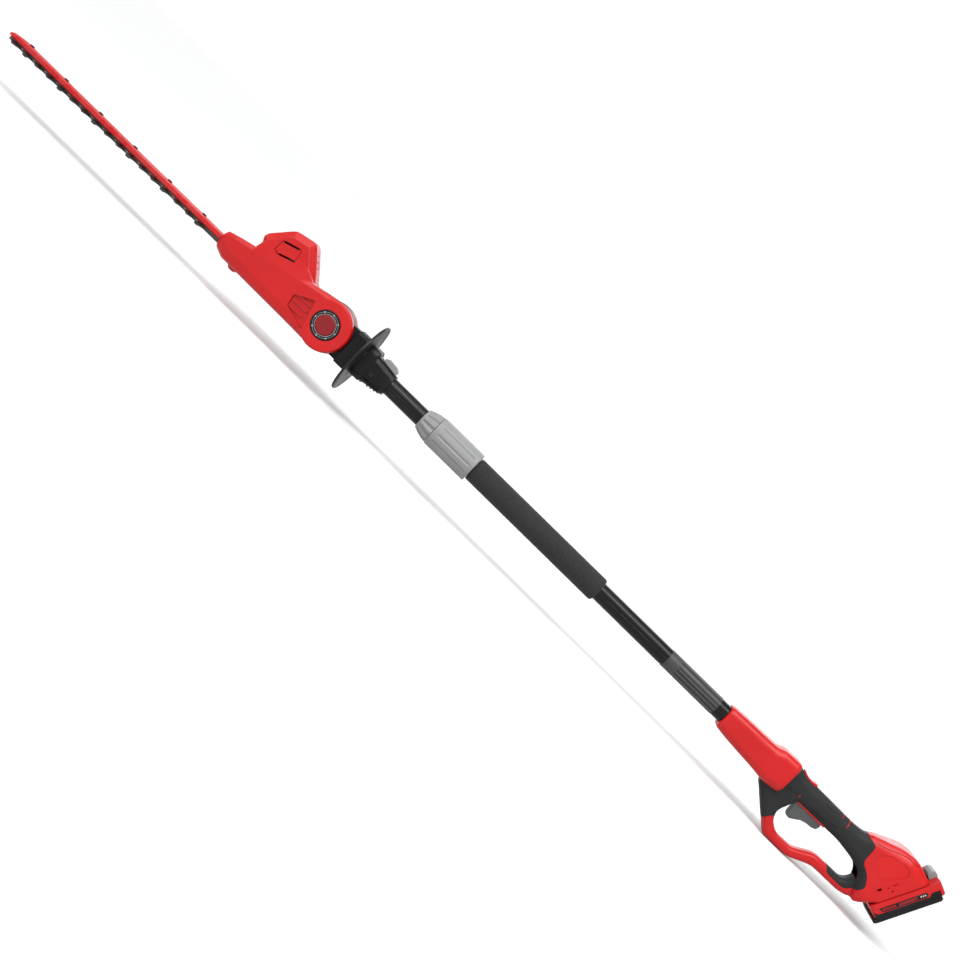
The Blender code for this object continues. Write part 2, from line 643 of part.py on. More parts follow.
def make_neck_shells():
    low, high = -NECK_HALF_HEIGHT, NECK_HALF_HEIGHT
    block = ((-270.5, low, high, 21), (-268.5, low, high, 23), (-246.8, low, high, 23))
    neck = chamfered_loft(block, (5, 5), (5, 5))
    neck = join(neck, rod("X", (0, 0, 0), NECK_SPIGOT_RADIUS, -248.5, -237, 36))
    collar = ((-238.3, -28.5, 30.5, 25), (-222.5, -28.5, 30.5, 25), (-220.5, -27.5, 28, 23.5))
    neck = join(neck, chamfered_loft(collar, (11, 11), (11, 11), 3))
    cone = ((-222.0, -27.0, 25.0, 22.5), (-190.0, -22.0, 21.0, 20.5), (-179.5, -19.5, 19.5, 19.5))
    neck = join(neck, chamfered_loft(cone, (17, 17), (17, 17), 4))
    tongue = rod("Y", (PIVOT_X, 0, 0), TONGUE_RADIUS, -TONGUE_HALF_WIDTH, TONGUE_HALF_WIDTH, 40)
    bridge = box((PIVOT_X + 26, -262), (-TONGUE_HALF_WIDTH, TONGUE_HALF_WIDTH), (-NECK_HALF_HEIGHT + 0.5, 30.5))
    neck = join(neck, tongue, bridge)

    neck = cut(neck, rod("Y", (PIVOT_X, 0, 0), INDEX_RADIUS + 0.8, INDEX_INNER_Y - 0.4, 14, 32))
    neck = cut(neck, rod("Y", (PIVOT_X, 0, 0), PIVOT_BOLT_RADIUS + 0.4, -20, 20))
    neck = cut(neck, rod("X", (0, 0, 0), UPPER_TUBE_RADIUS + GAP, UPPER_TUBE[0] - GAP, -170))
    # Slide for the lock: a flat under the button, a channel for the pawl and one for the spring
    neck = cut(neck, box((-215.5, -170), (-8.5, 8.5), (SLIDER_Z - GAP, 40)))
    neck = cut(neck, box((-292, -170), (PAWL_Y[0] - 0.4, PAWL_Y[1] + 0.4), (SLIDER_Z - GAP, PAWL_Z[1] + 0.4)))
    neck = cut(neck, box((-236, -212), (-3.2, 3.2), (SLIDER_Z - GAP, SLIDER_Z + 6.6)))
    neck = cut(neck, rod("Y", (NECK_SCREW_X, 0, NECK_SCREW_Z), 2.0, -40, 40, 8))
    for side in (-1, 1):
        low, high = sorted((side * 20.3, side * 40))
        neck = cut(neck, rod("Y", (NECK_SCREW_X, 0, NECK_SCREW_Z), 3.8, low, high, 12))
    left, right = halves(neck)
    finish(left, "neck_shell_left", "black_plastic", "upper_pole")
    finish(right, "neck_shell_right", "black_plastic", "upper_pole")


def make_guard_disc():
    x, r = GUARD_DISC_X, GUARD_DISC_RADIUS
    bore = NECK_SPIGOT_RADIUS + GAP
    front = [(x - 2.6, bore), (x - 2.6, 34), (x - 1.2, 40), (x - 1.2, r - 3)]
    rim = [(x - 2.2, r - 1), (x + 1.5, r)]
    back = [(x + 1.8, r - 3), (x + 1.8, 40), (x + 2.6, 34), (x + 2.6, bore)]
    disc = turned(front + rim + back, "X", sides=36, tube=True)
    finish(disc, "guard_disc", "dark_grey_plastic", "upper_pole")


def make_neck_screws():
    for i, side in enumerate((-1, 1), 1):
        solid = screw((NECK_SCREW_X, NECK_SCREW_Z), 20.3, 3.3, 1.6, 7.5, side)
        finish(solid, f"neck_screw_{i}", "steel", "upper_pole")


def make_pivot_lock():
    top = [(-212.3, 18.1), (-184.5, 18.1), (-183.5, 24.5), (-189.0, 28.5), (-206.5, 30.5), (-212.3, 27.5)]
    button = prism(top, -7.8, 7.8)
    pawl = box((PAWL_TIP, -190), PAWL_Y, PAWL_Z)
    button = join(button, pawl)
    for x in (-205.0, -200.5, -196.0, -191.5):
        button = cut(button, box((x - 0.8, x + 0.8), (-6, 6), (SLIDER_Z + 9.2, 40)))
    finish(button, "pivot_lock_slider", "grey_plastic", "pivot_lock")
    middle = SLIDER_Z + 3.2
    spring = coil_spring((-235.0, 0, middle), (-213.2, 0, middle), 2.2, 0.4, 7)
    finish(spring, "pivot_lock_spring", "steel", "upper_pole")


# ---------------------------------------------------------------- pole and coupling


def make_tube(name, span, radius, body, holes=()):
    wall = radius - TUBE_WALL
    profile = [(span[0], wall), (span[0], radius), (span[1], radius), (span[1], wall)]
    tube = turned(profile, "X", sides=28, tube=True)
    for x, z in holes:
        tube = cut(tube, rod("Y", (x, 0, z), 2.0, -40, 40, 8))
    finish(tube, name, "tube_paint", body)


def make_coupling():
    front, back = CROWN
    bore = UPPER_TUBE_RADIUS + GAP
    plug_bore = 12.3
    barrel_end = -52.0
    crown = [
        (front, bore),
        (front, bore + 1.4),
        (front + 1.5, bore + 2.6),
        (front + 9.0, 21.5),
        (front + 18.0, 24.2),
        (back - 1.0, 25.4),
        (back, 25.0),
        (back, 21.3),
        (barrel_end, 21.3),
        (barrel_end, plug_bore),
        (UPPER_TUBE[1] + GAP, plug_bore),
        (UPPER_TUBE[1] + GAP, bore),
    ]
    fluted = (CROWN_FLUTES, 2.6, (front + 9.0, front + 18.0, back - 1.0))
    solid = turned(crown, "X", sides=36, tube=True, flutes=fluted)
    finish(solid, "coupling_crown", "grey_plastic", "upper_pole")

    plug = [(UPPER_TUBE[1] + 0.6, 11.9), (-50.0, 11.9), (-50.0, 8.0), (-32.0, 8.0)]
    finish(turned(plug, "X", sides=24), "coupling_plug", "black_plastic", "upper_pole")
    socket = [
        (-49.0, 20.8),
        (LOWER_TUBE[0] - GAP, 20.8),
        (LOWER_TUBE[0] - GAP, LOWER_TUBE_RADIUS - TUBE_WALL - GAP),
        (-5.0, LOWER_TUBE_RADIUS - TUBE_WALL - GAP),
        (-5.0, 3.0),
        (-28.0, 3.0),
        (-28.0, 8.4),
        (-49.0, 8.4),
    ]
    finish(turned(socket, "X", sides=24, tube=True), "coupling_socket", "black_plastic", "handle")

    start, end = NUT
    r = NUT_RADIUS
    nut = [
        (start, 21.8),
        (start, r - 1.0),
        (start + 1.2, r),
        (start + 8.0, r),
        (start + 11.0, r),
        (end - 6.0, r),
        (end - 4.0, r),
        (end - 1.2, r),
        (end, r - 1.4),
        (end, LOWER_TUBE_RADIUS + 0.4),
        (LOWER_TUBE[0] + 1.5, LOWER_TUBE_RADIUS + 0.4),
        (LOWER_TUBE[0] + 1.5, 21.8),
    ]
    fluted = (NUT_FLUTES, 1.6, (start + 11.0, end - 6.0))
    solid = turned(nut, "X", sides=30, tube=True, flutes=fluted)
    finish(solid, "coupling_nut", "grey_plastic", "coupling_nut")


def make_foam_grip():
    (start, end), r = FOAM, FOAM_RADIUS
    inner = LOWER_TUBE_RADIUS + GAP
    profile = [(start, inner), (start, r - 1.5), (start + 1.5, r), (end - 2.5, r), (end, r - 2.5), (end, inner)]
    finish(turned(profile, "X", sides=28, tube=True), "foam_grip", "foam", "handle")


def make_tube_label():
    inner = LOWER_TUBE_RADIUS + 0.15
    profile = [(LABEL[0], inner), (LABEL[0], inner + 0.35), (LABEL[1], inner + 0.35), (LABEL[1], inner)]
    finish(turned(profile, "X", sides=28, tube=True), "tube_label", "label", "handle")


def make_leads():
    finish(lead([(-262.0, 0, 0), (-93.0, 0, 0)], 2.6), "upper_lead", "black_plastic", "upper_pole")
    route = [(-4.5, 0, 0), (640.0, 0, 0), (690.0, 0, 2.0), (720.0, 0, 4.0), (750.0, 0, 4.5)]
    finish(lead(route, 2.6), "lower_lead", "black_plastic", "handle")
    terminal = pack_point(-40.0, 0, -19.0)
    route = [(798.0, 0, 3.5), (845.0, 0, 2.0), (870.0, 0, -3.0), (892.0, 0, -15.0), terminal]
    finish(lead(route, 2.6), "battery_lead", "black_plastic", "handle")


# ---------------------------------------------------------------- rear handle


def rear_low(a, h=0.0):
    point = pack_point(a, 0.0, h)
    return (point.x, point.z)


HANDLE = (  # low (x, z), high (x, z), half width, corner roundness: nose, grip, then the rear housing
    ((562.5, -20.5), (562.5, 17.5), 19.0, 0.62),
    ((567.0, -23.0), (567.0, 19.8), 21.0, 0.6),
    ((655.0, -30.5), (656.0, 23.2), 24.0, 0.55),
    ((671.0, -32.0), (672.0, 28.8), 26.0, 0.5),
    ((700.0, -30.0), (700.0, 29.6), 26.0, 0.5),
    ((703.4, -28.5), (703.4, 28.4), 24.5, 0.5),
    ((705.5, -25.5), (705.5, 26.2), 21.0, 0.65),
    ((713.0, -21.0), (713.0, 24.5), 18.8, 0.8),
    ((732.0, -19.0), (732.0, 20.5), 17.2, 0.85),
    ((785.0, -18.0), (785.0, 20.0), 17.5, 0.88),
    ((825.0, -17.5), (825.0, 19.5), 16.8, 0.88),
    ((848.0, -20.0), (850.0, 22.2), 18.5, 0.8),
    ((868.0, -23.5), (862.0, 29.0), 21.5, 0.65),
    ((886.0, -35.0), (884.0, 38.0), 27.5, 0.5),
    ((899.0, -62.0), (909.0, 47.2), 33.0, 0.42),
    ((904.0, -67.5), (927.0, 49.5), 36.0, 0.38),
    (rear_low(-50.0), rear_low(44.0), 37.0, 0.3),
)
GUARD = (  # low is the outer edge of the D, high its inner edge
    ((677.0, -20.0), (746.0, -9.0), 15.5, 0.6),
    ((672.5, -33.0), (738.5, -23.0), 16.0, 0.6),
    ((686.0, -46.5), (733.5, -34.0), 15.5, 0.6),
    ((704.0, -63.0), (729.0, -49.5), 14.5, 0.65),
    ((721.5, -78.0), (733.5, -62.5), 13.5, 0.7),
    ((742.5, -93.5), (756.5, -77.0), 13.0, 0.7),
    ((779.5, -93.5), (780.5, -76.5), 13.0, 0.7),
    ((834.5, -75.8), (826.5, -57.0), 13.0, 0.7),
    ((879.0, -75.0), (871.0, -56.5), 13.5, 0.7),
    ((898.0, -71.0), (886.0, -44.0), 16.0, 0.6),
    ((914.0, -58.0), (889.0, -33.0), 18.0, 0.6),
)
HANDLE_CAVITY = (
    ((640.2, -15.0), (640.2, 15.0), 14.5, 0.6),
    ((668.0, -24.0), (668.0, 21.0), 20.0, 0.5),
    ((699.0, -19.0), (699.0, 20.0), 16.5, 0.6),
    ((716.0, -13.0), (716.0, 14.0), 11.5, 0.6),
    ((732.0, -11.5), (732.0, 13.5), 10.6, 0.6),
    ((825.0, -11.0), (825.0, 12.5), 10.4, 0.6),
    ((850.0, -13.0), (851.0, 15.0), 11.5, 0.6),
    ((884.0, -36.0), (882.0, 30.0), 21.0, 0.5),
    ((904.0, -52.0), (910.0, 40.0), 28.0, 0.4),
    (rear_low(-44.0, -14.0), rear_low(38.0, -14.0), 31.0, 0.3),
)
DARK_ZONE = [  # side outline of the soft grip: strut, grip and the rear inner corner
    (704.5, 45.0),
    (704.5, -28.0),
    (668.0, -33.0),
    (668.0, -50.0),
    (712.0, -86.5),
    (724.5, -61.4),
    (760.0, -45.0),
    (843.2, -55.5),
    (849.6, -65.5),
    (886.1, -65.7),
    (897.8, -49.7),
    (902.2, -38.0),
    (892.0, -21.9),
    (874.4, -11.7),
    (871.5, 20.5),
    (852.0, 24.0),
    (852.0, 45.0),
]
HANDLE_SCREWS = ((660.0, -19.0), (712.0, -52.0), (898.0, 29.0), (908.0, -54.0))
SKIN_THICKNESS = 2.5


def handle_form():
    return join(station_loft(HANDLE), station_loft(GUARD))


def handle_core(inset):
    """What the soft grip is moulded over."""
    return join(station_loft(HANDLE[3:-1], inset), station_loft(GUARD, inset))


def controls_cut(solid):
    solid = cut(solid, box((733.5, 796.5), (-8.0, 8.0), (-40, -7)))
    return cut(solid, box((713.0, 747.0), (-8.3, 8.3), (8, 40)))


def screw_seat(x):
    """How far out each handle screw sits, which follows the handle's width there."""
    return {660.0: 18.0, 712.0: 9.5, 898.0: 24.0, 908.0: 14.0}[x]


def make_handle_shells():
    shell = cut(handle_form(), prism(DARK_ZONE, -60, 60))
    core = handle_core(SKIN_THICKNESS + GAP)
    shell = join(shell, common(core, prism(offset_outline(DARK_ZONE, -1.5), -60, 60)))
    cavity = station_loft(HANDLE_CAVITY)
    for x, z in HANDLE_SCREWS:
        cavity = cut(cavity, rod("Y", (x, 0, z), 4.8, -50, 50, 8))
    shell = cut(shell, cavity)
    shell = cut(shell, station_loft(GUARD[4:9], 5.5))
    shell = cut(shell, rod("X", (0, 0, 0), LOWER_TUBE_RADIUS + GAP, 550, LOWER_TUBE[1] + GAP, 28))
    shell = controls_cut(shell)
    # T-slot for the battery, open at the top, and the terminal block's window
    shell = cut(shell, pack_box((-51.0, 90.0), (-21.8, 21.8), (-5.0, 5.0)))
    shell = cut(shell, pack_box((-51.0, 90.0), (-25.3, 25.3), (-10.0, -3.6)))
    shell = cut(shell, pack_box((-50.2, -29.8), (-16.8, 16.8), (-20.0, -9.0)))

    left, right = halves(shell)
    for x, z in HANDLE_SCREWS:
        left = cut(left, rod("Y", (x, 0, z), 2.0, -9, 1, 8))
        right = cut(right, rod("Y", (x, 0, z), 2.0, -1, 50, 8))
        right = cut(right, rod("Y", (x, 0, z), 3.8, screw_seat(x), 50, 12))
    finish(left, "handle_shell_left", "red_plastic", "handle")
    finish(right, "handle_shell_right", "red_plastic", "handle")


def make_overmoulds():
    zone = prism(offset_outline(DARK_ZONE, GAP), -60, 60)
    soft = cut(common(handle_form(), zone), handle_core(SKIN_THICKNESS))
    soft = controls_cut(soft)
    left, right = halves(soft)
    for x, z in HANDLE_SCREWS:
        right = cut(right, rod("Y", (x, 0, z), 3.8, 0.0, 50, 12))
    finish(left, "grip_overmould_left", "overmould", "handle")
    finish(right, "grip_overmould_right", "overmould", "handle")


def make_handle_screws():
    for i, (x, z) in enumerate(HANDLE_SCREWS, 1):
        seat = screw_seat(x)
        solid = screw((x, z), seat, 3.4, 1.6, seat + 7, 1)
        finish(solid, f"handle_screw_{i}", "dark_steel", "handle")


def make_trigger():
    outline = [
        (737.0, -10.0),
        (749.0, -10.0),
        (753.0, -14.5),
        (792.5, -14.5),
        (794.0, -24.0),
        (791.5, -30.0),
        (784.0, -32.5),
        (774.0, -33.3),
        (765.0, -36.0),
        (757.5, -41.5),
        (750.0, -46.3),
        (744.0, -46.0),
        (741.0, -42.0),
        (739.5, -30.0),
        (736.5, -20.0),
    ]
    edge = TRIGGER_HALF_WIDTH - 1.5
    layers = ((-TRIGGER_HALF_WIDTH, 1.2), (-edge, 0), (edge, 0), (TRIGGER_HALF_WIDTH, 1.2))
    finish(layered_prism(outline, layers), "trigger", "trigger_grey", "trigger")
    spring = coil_spring((772.0, 0, -13.6), (772.0, 0, -3.8), 2.6, 0.4, 5)
    finish(spring, "trigger_spring", "steel", "handle")


def make_switch():
    body = box((752.0, 792.0), (-8.0, 8.0), (-2.6, 9.5))
    finish(body, "trigger_switch", "black_plastic", "handle")


def make_lock_off():
    outline = [
        (715.0, 13.5),
        (745.0, 13.5),
        (745.0, 22.0),
        (743.5, 23.6),
        (735.0, 21.6),
        (727.0, 22.0),
        (719.5, 24.2),
        (715.0, 26.3),
    ]
    layers = ((-7.8, 1.0), (-6.6, 0), (6.6, 0), (7.8, 1.0))
    finish(layered_prism(outline, layers), "lock_off_button", "red_plastic", "lock_off")


def make_terminal_block():
    block = pack_box((-49.8, -30.2), (-16.4, 16.4), (-18.5, -10.2))
    for y in (-12.0, -4.0, 4.0, 12.0):
        block = join(block, pack_box((-48.0, -37.0), (y - 0.5, y + 0.5), (-11.0, -4.8)))
    finish(block, "terminal_block", "black_plastic", "handle")


# ---------------------------------------------------------------- battery


def pack_tray(a, h, wall, floor, open_side):
    """Half a battery case: a chamfered box that is hollow towards open_side (+1 or -1 along h)."""
    w, c = PACK_HALF_WIDTH, 4.0
    plan = [(a[0], c - w), (a[0] + c, -w), (a[1] - c, -w), (a[1], c - w)]
    plan += [(along, -across) for along, across in reversed(plan)]
    rings = [[pack_point(along, across, out) for along, across in plan] for out in h]
    tray = skin(rings)
    inner = (h[0] + floor, h[1] + 5.0) if open_side > 0 else (h[0] - 5.0, h[1] - floor)
    hollow = pack_box((a[0] + wall, a[1] - wall), (wall - w, w - wall), inner)
    return cut(tray, hollow)


def make_battery_case():
    upper = pack_tray((-56.0, 60.0), (GAP, 21.5), 3.0, 3.0, 1)
    upper = join(upper, pack_box((-50.5, 30.0), (-21.4, 21.4), (-4.5, 1.0)))
    upper = join(upper, pack_box((-50.5, 30.0), (-24.9, 24.9), (-9.4, -4.0)))
    for y in (-12.0, -4.0, 4.0, 12.0):
        upper = cut(upper, pack_box((-60.0, -34.0), (y - 1.2, y + 1.2), (-12.0, -3.0)))
    upper = cut(upper, pack_box((45.5, 70.0), (-15.5, 15.5), (-2.0, 5.2)))
    finish(upper, "battery_case_upper", "red_plastic", "battery")
    lower = pack_tray((-60.0, 54.0), (21.8, 29.6), 3.0, 2.5, -1)
    finish(lower, "battery_case_lower", "black_plastic", "battery")


def make_cells():
    half = CELL_LENGTH / 2
    cells = None
    span = CELL_PITCH * (CELL_COUNT - 1) / 2
    for side in (-1, 1):
        strip = pack_box((-span - 4, span + 4), sorted((side * (half - 0.5), side * (half + 0.6))), (12.0, 18.0))
        cells = join(cells, strip) if cells else strip
    for i in range(CELL_COUNT):
        centre = pack_point(CELL_PITCH * (i - (CELL_COUNT - 1) / 2), 0.0, 15.0)
        cells = join(cells, rod("Y", centre, CELL_RADIUS, -half, half, 14))
    finish(cells, "battery_cell_pack", "cell_wrap", "battery")


def make_battery_latch():
    profile = ((46.5, -0.2), (46.5, -7.0), (49.5, -9.5), (55.0, -10.5), (60.5, -8.0), (61.5, -2.0), (60.5, 1.4),
               (47.5, 1.4), (46.5, 0.6))
    layers = [[pack_point(a, y, h) for a, h in profile] for y in (-14.5, 14.5)]
    finish(skin(layers), "battery_latch", "grey_plastic", "battery_latch")
    spring = coil_spring(pack_point(53.5, 0, 1.8), pack_point(53.5, 0, 4.8), 3.0, 0.35, 2)
    finish(spring, "battery_latch_spring", "steel", "battery")


# ---------------------------------------------------------------- build


def clear_scene():
    for existing in list(bpy.data.objects):
        bpy.data.objects.remove(existing)


clear_scene()
MATERIALS = make_materials()
BODIES = make_bodies()

make_blade("upper_blade", UPPER_BLADE_TOP, -TOOTH_STAGGER)
make_blade("lower_blade", LOWER_BLADE_TOP, TOOTH_STAGGER)
make_support_bar()
make_blade_bolts()
make_motor()
make_drive_gear()
make_gear_plate()
make_head_shells()
make_head_screws()
make_pivot()
make_neck_shells()
make_guard_disc()
make_neck_screws()
make_pivot_lock()
make_tube("upper_tube", UPPER_TUBE, UPPER_TUBE_RADIUS, "upper_pole", ((NECK_SCREW_X, NECK_SCREW_Z),))
make_tube("lower_tube", LOWER_TUBE, LOWER_TUBE_RADIUS, "handle")
make_coupling()
make_foam_grip()
make_tube_label()
make_leads()
make_handle_shells()
make_overmoulds()
make_handle_screws()
make_trigger()
make_switch()
make_lock_off()
make_terminal_block()
make_battery_case()
make_cells()
make_battery_latch()
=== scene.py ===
"""The looks of the battery pole hedge trimmer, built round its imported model.

Shape lengths are in millimetres from the pole's axis, as in the model's own drawing, and the mesh helpers
turn them into metres. The blade points to -X and the battery to +X; left is -Y, the side that the camera
sees. Moulded forms are lofted finely, blended where they meet, and then cut open. Every shown surface gets
a node material with colour variation, grain and uneven gloss.
"""

import json
import math

import bmesh
import bpy
from mathutils import Matrix, Vector


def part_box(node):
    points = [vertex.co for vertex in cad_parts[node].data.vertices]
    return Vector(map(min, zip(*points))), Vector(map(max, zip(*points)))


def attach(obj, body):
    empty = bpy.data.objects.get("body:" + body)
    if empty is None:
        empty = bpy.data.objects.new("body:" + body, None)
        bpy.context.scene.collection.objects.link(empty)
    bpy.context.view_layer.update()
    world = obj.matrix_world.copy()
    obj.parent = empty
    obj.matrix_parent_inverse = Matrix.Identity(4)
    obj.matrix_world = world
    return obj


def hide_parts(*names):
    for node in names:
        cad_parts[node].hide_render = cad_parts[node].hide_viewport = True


MM = 0.001
GAP = 0.3  # between neighbouring mouldings

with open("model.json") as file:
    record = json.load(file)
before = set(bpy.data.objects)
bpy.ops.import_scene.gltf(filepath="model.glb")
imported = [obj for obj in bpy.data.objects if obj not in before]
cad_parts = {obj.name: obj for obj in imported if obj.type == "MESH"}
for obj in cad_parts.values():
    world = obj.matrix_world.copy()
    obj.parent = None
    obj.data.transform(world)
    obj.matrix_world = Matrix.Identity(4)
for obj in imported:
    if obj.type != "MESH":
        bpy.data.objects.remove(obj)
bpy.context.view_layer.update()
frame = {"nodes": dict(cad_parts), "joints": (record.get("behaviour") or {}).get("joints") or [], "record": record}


# --- places read from the frame


def joint_point(name):
    found = next(joint for joint in frame["joints"] if joint["name"] == name)
    return Vector(found["pos_m"])


AXIS_Z = joint_point("head_pivot").z


def span(node, axis="X"):
    """Lowest and highest place of a node along an axis, in millimetres from the pole's axis."""
    low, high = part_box(node)
    index = "XYZ".index(axis)
    lift = AXIS_Z if axis == "Z" else 0.0
    return (low[index] - lift) / MM, (high[index] - lift) / MM


def radius_of(node, axis="Y"):
    low, high = span(node, axis)
    return (high - low) / 2


PIVOT_X = joint_point("head_pivot").x / MM
GEAR_X = joint_point("drive_gear_spin").x / MM
MOTOR_X = joint_point("motor_spin").x / MM


# --- mesh helpers


def link(mesh):
    data = bpy.data.meshes.new("piece")
    mesh.to_mesh(data)
    mesh.free()
    solid = bpy.data.objects.new("piece", data)
    bpy.context.scene.collection.objects.link(solid)
    return solid


def skin(rings, closed=False):
    """A solid through rings of (x, y, z) points, capped at both ends unless the rings are closed."""
    mesh = bmesh.new()
    lift = Vector((0.0, 0.0, AXIS_Z))
    rows = [[mesh.verts.new(Vector(point) * MM + lift) for point in ring] for ring in rings]
    pairs = list(zip(rows, rows[1:]))
    if closed:
        pairs.append((rows[-1], rows[0]))
    else:
        mesh.faces.new(rows[0])
        mesh.faces.new(rows[-1])
    for first, second in pairs:
        for i in range(len(first)):
            j = (i + 1) % len(first)
            mesh.faces.new((first[i], first[j], second[j], second[i]))
    bmesh.ops.recalc_face_normals(mesh, faces=mesh.faces)
    if mesh.calc_volume(signed=True) < 0:
        bmesh.ops.reverse_faces(mesh, faces=mesh.faces)
    return link(mesh)


def settle(solid):
    """Apply the modifiers."""
    evaluated = solid.evaluated_get(bpy.context.evaluated_depsgraph_get())
    result = bpy.data.meshes.new_from_object(evaluated)
    solid.modifiers.clear()
    solid.data = result
    return solid


def combine(solid, tools, operation):
    for tool in tools:
        modifier = solid.modifiers.new("combine", "BOOLEAN")
        modifier.operation = operation
        modifier.solver = "MANIFOLD"
        modifier.object = tool
        settle(solid)
        bpy.data.objects.remove(tool)
    return solid


def cut(solid, *tools):
    return combine(solid, tools, "DIFFERENCE")


def join(solid, *tools):
    return combine(solid, tools, "UNION")


def common(solid, *tools):
    return combine(solid, tools, "INTERSECT")


def copy_of(solid):
    twin = solid.copy()
    twin.data = solid.data.copy()
    bpy.context.scene.collection.objects.link(twin)
    return twin


def melt(solid, voxel, rounds):
    """Remesh a joined form evenly and smooth it, which rounds its edges and fillets its corners."""
    remesh = solid.modifiers.new("remesh", "REMESH")
    remesh.mode = "VOXEL"
    remesh.voxel_size = voxel * MM
    smooth = solid.modifiers.new("smooth", "SMOOTH")
    smooth.factor = 0.5
    smooth.iterations = rounds
    return settle(solid)


def offset_outline(points, distance):
    """The outline moved inwards by a distance (outwards if negative), corner by corner."""
    area = sum(a[0] * b[1] - b[0] * a[1] for a, b in zip(points, points[1:] + points[:1]))
    inward = distance if area > 0 else -distance
    lines = []
    for (ax, az), (bx, bz) in zip(points, points[1:] + points[:1]):
        length = math.hypot(bx - ax, bz - az)
        direction = ((bx - ax) / length, (bz - az) / length)
        lines.append(((ax - direction[1] * inward, az + direction[0] * inward), direction))
    moved = []
    for ((px, pz), (dx, dz)), ((qx, qz), (ex, ez)) in zip([lines[-1]] + lines[:-1], lines):
        cross = dx * ez - dz * ex
        along = ((qx - px) * ez - (qz - pz) * ex) / cross if abs(cross) > 1e-9 else 0.0
        moved.append((px + along * dx, pz + along * dz) if abs(cross) > 1e-9 else (qx, qz))
    return moved


def prism(outline, y_low, y_high):
    """A side-view outline of (x, z) points, extruded across the tool."""
    return skin([[(x, y, z) for x, z in outline] for y in (y_low, y_high)])


def slab(outline, z_low, z_high):
    """A plan outline of (x, y) points, extruded upwards."""
    return skin([[(x, y, z) for x, y in outline] for z in (z_low, z_high)])


def box(x, y, z):
    return prism([(x[0], z[0]), (x[1], z[0]), (x[1], z[1]), (x[0], z[1])], *y)


def layered_prism(outline, layers):
    """A side outline stacked across the tool, as (y, inset) layers."""
    return skin([[(x, y, z) for x, z in offset_outline(outline, inset)] for y, inset in layers])


def turned(profile, axis="X", centre=(0.0, 0.0, 0.0), sides=96, tube=False, carve=None):
    """A solid of revolution through (station, radius) points, less a depth of carve(station, angle)."""
    rings = []
    for station, radius in profile:
        ring = []
        for i in range(sides):
            angle = 2 * math.pi * i / sides
            r = radius - (carve(station, angle) if carve else 0.0)
            u, v = r * math.cos(angle), r * math.sin(angle)
            offset = {"X": (station, u, v), "Y": (v, station, u), "Z": (u, v, station)}[axis]
            ring.append(Vector(centre) + Vector(offset))
        rings.append(ring)
    return skin(rings, closed=tube)


def rod(axis, centre, radius, start, end, sides=48):
    return turned([(start, radius), (end, radius)], axis, centre, sides)


def eased(profile, longest=2.0):
    """The profile with more points on its long runs, so that carving has something to bend."""
    points = []
    for (a, r), (b, s) in zip(profile, profile[1:]):
        steps = max(1, math.ceil(abs(b - a) / longest))
        points += [(a + (b - a) * k / steps, r + (s - r) * k / steps) for k in range(steps)]
    return points + [profile[-1]]


def ring_points(low, high, half_width, low_round, high_round, steps):
    """A rounded rectangle standing on the line from low to high, each an (x, z) point."""
    height = math.hypot(high[0] - low[0], high[1] - low[1])
    up = ((high[0] - low[0]) / height, (high[1] - low[1]) / height)
    corners = (
        (half_width - low_round[0], low_round[1], low_round, -90),
        (half_width - high_round[0], height - high_round[1], high_round, 0),
        (-half_width + high_round[0], height - high_round[1], high_round, 90),
        (-half_width + low_round[0], low_round[1], low_round, 180),
    )
    ring = []
    for y_centre, t_centre, (y_round, t_round), start in corners:
        for step in range(steps + 1):
            angle = math.radians(start + 90.0 * step / steps)
            y = y_centre + y_round * math.cos(angle)
            t = t_centre + t_round * math.sin(angle)
            ring.append((low[0] + up[0] * t, y, low[1] + up[1] * t))
    return ring


def flowing(rows, longest=6.0):
    """Rows between the given ones, on curves that pass through them and never bulge past them."""
    places = [0.0]
    for a, b in zip(rows, rows[1:]):
        step = math.hypot(b[0] + b[2] - a[0] - a[2], b[1] + b[3] - a[1] - a[3]) / 2
        places.append(places[-1] + step)
    slopes = []
    for column in range(len(rows[0])):
        runs = zip(rows, rows[1:], places, places[1:])
        rates = [(b[column] - a[column]) / (q - p) for a, b, p, q in runs]
        inner = [2 * s * t / (s + t) if s * t > 0 else 0.0 for s, t in zip(rates, rates[1:])]
        slopes.append([rates[0]] + inner + [rates[-1]])
    result = []
    for i, (a, b) in enumerate(zip(rows, rows[1:])):
        length = places[i + 1] - places[i]
        steps = max(1, math.ceil(length / longest))
        for k in range(steps):
            t = k / steps
            row = []
            for column in range(len(a)):
                first, second = slopes[column][i] * length, slopes[column][i + 1] * length
                change = b[column] - a[column]
                bend = first * t * (1 - t) ** 2 - second * t * t * (1 - t)
                row.append(a[column] + change * t * t * (3 - 2 * t) + bend)
            result.append(row)
    return result + [list(rows[-1])]


def station_loft(stations, inset=0.0, steps=7, longest=6.0):
    """A flowing solid through stations of (low point, high point, half width, corner roundness 0 to 1)."""
    rows = [(*low, *high, half_width, roundness) for low, high, half_width, roundness in stations]
    rings = []
    for low_x, low_z, high_x, high_z, half_width, roundness in flowing(rows, longest):
        low, high = Vector((low_x, low_z)), Vector((high_x, high_z))
        step_in = (high - low).normalized() * inset
        low, high, width = low + step_in, high - step_in, half_width - inset
        corner = (width * roundness, (high - low).length / 2 * roundness)
        rings.append(ring_points(low, high, width, corner, corner, steps))
    return skin(rings)


def chamfered_loft(stations, low_corner, high_corner, steps=2):
    """A solid through stations of (x, low z, high z, half width) with its own lower and upper corners."""
    rings = []
    for x, low, high, half_width in stations:
        rings.append(ring_points((x, low), (x, high), half_width, low_corner, high_corner, steps))
    return skin(rings)


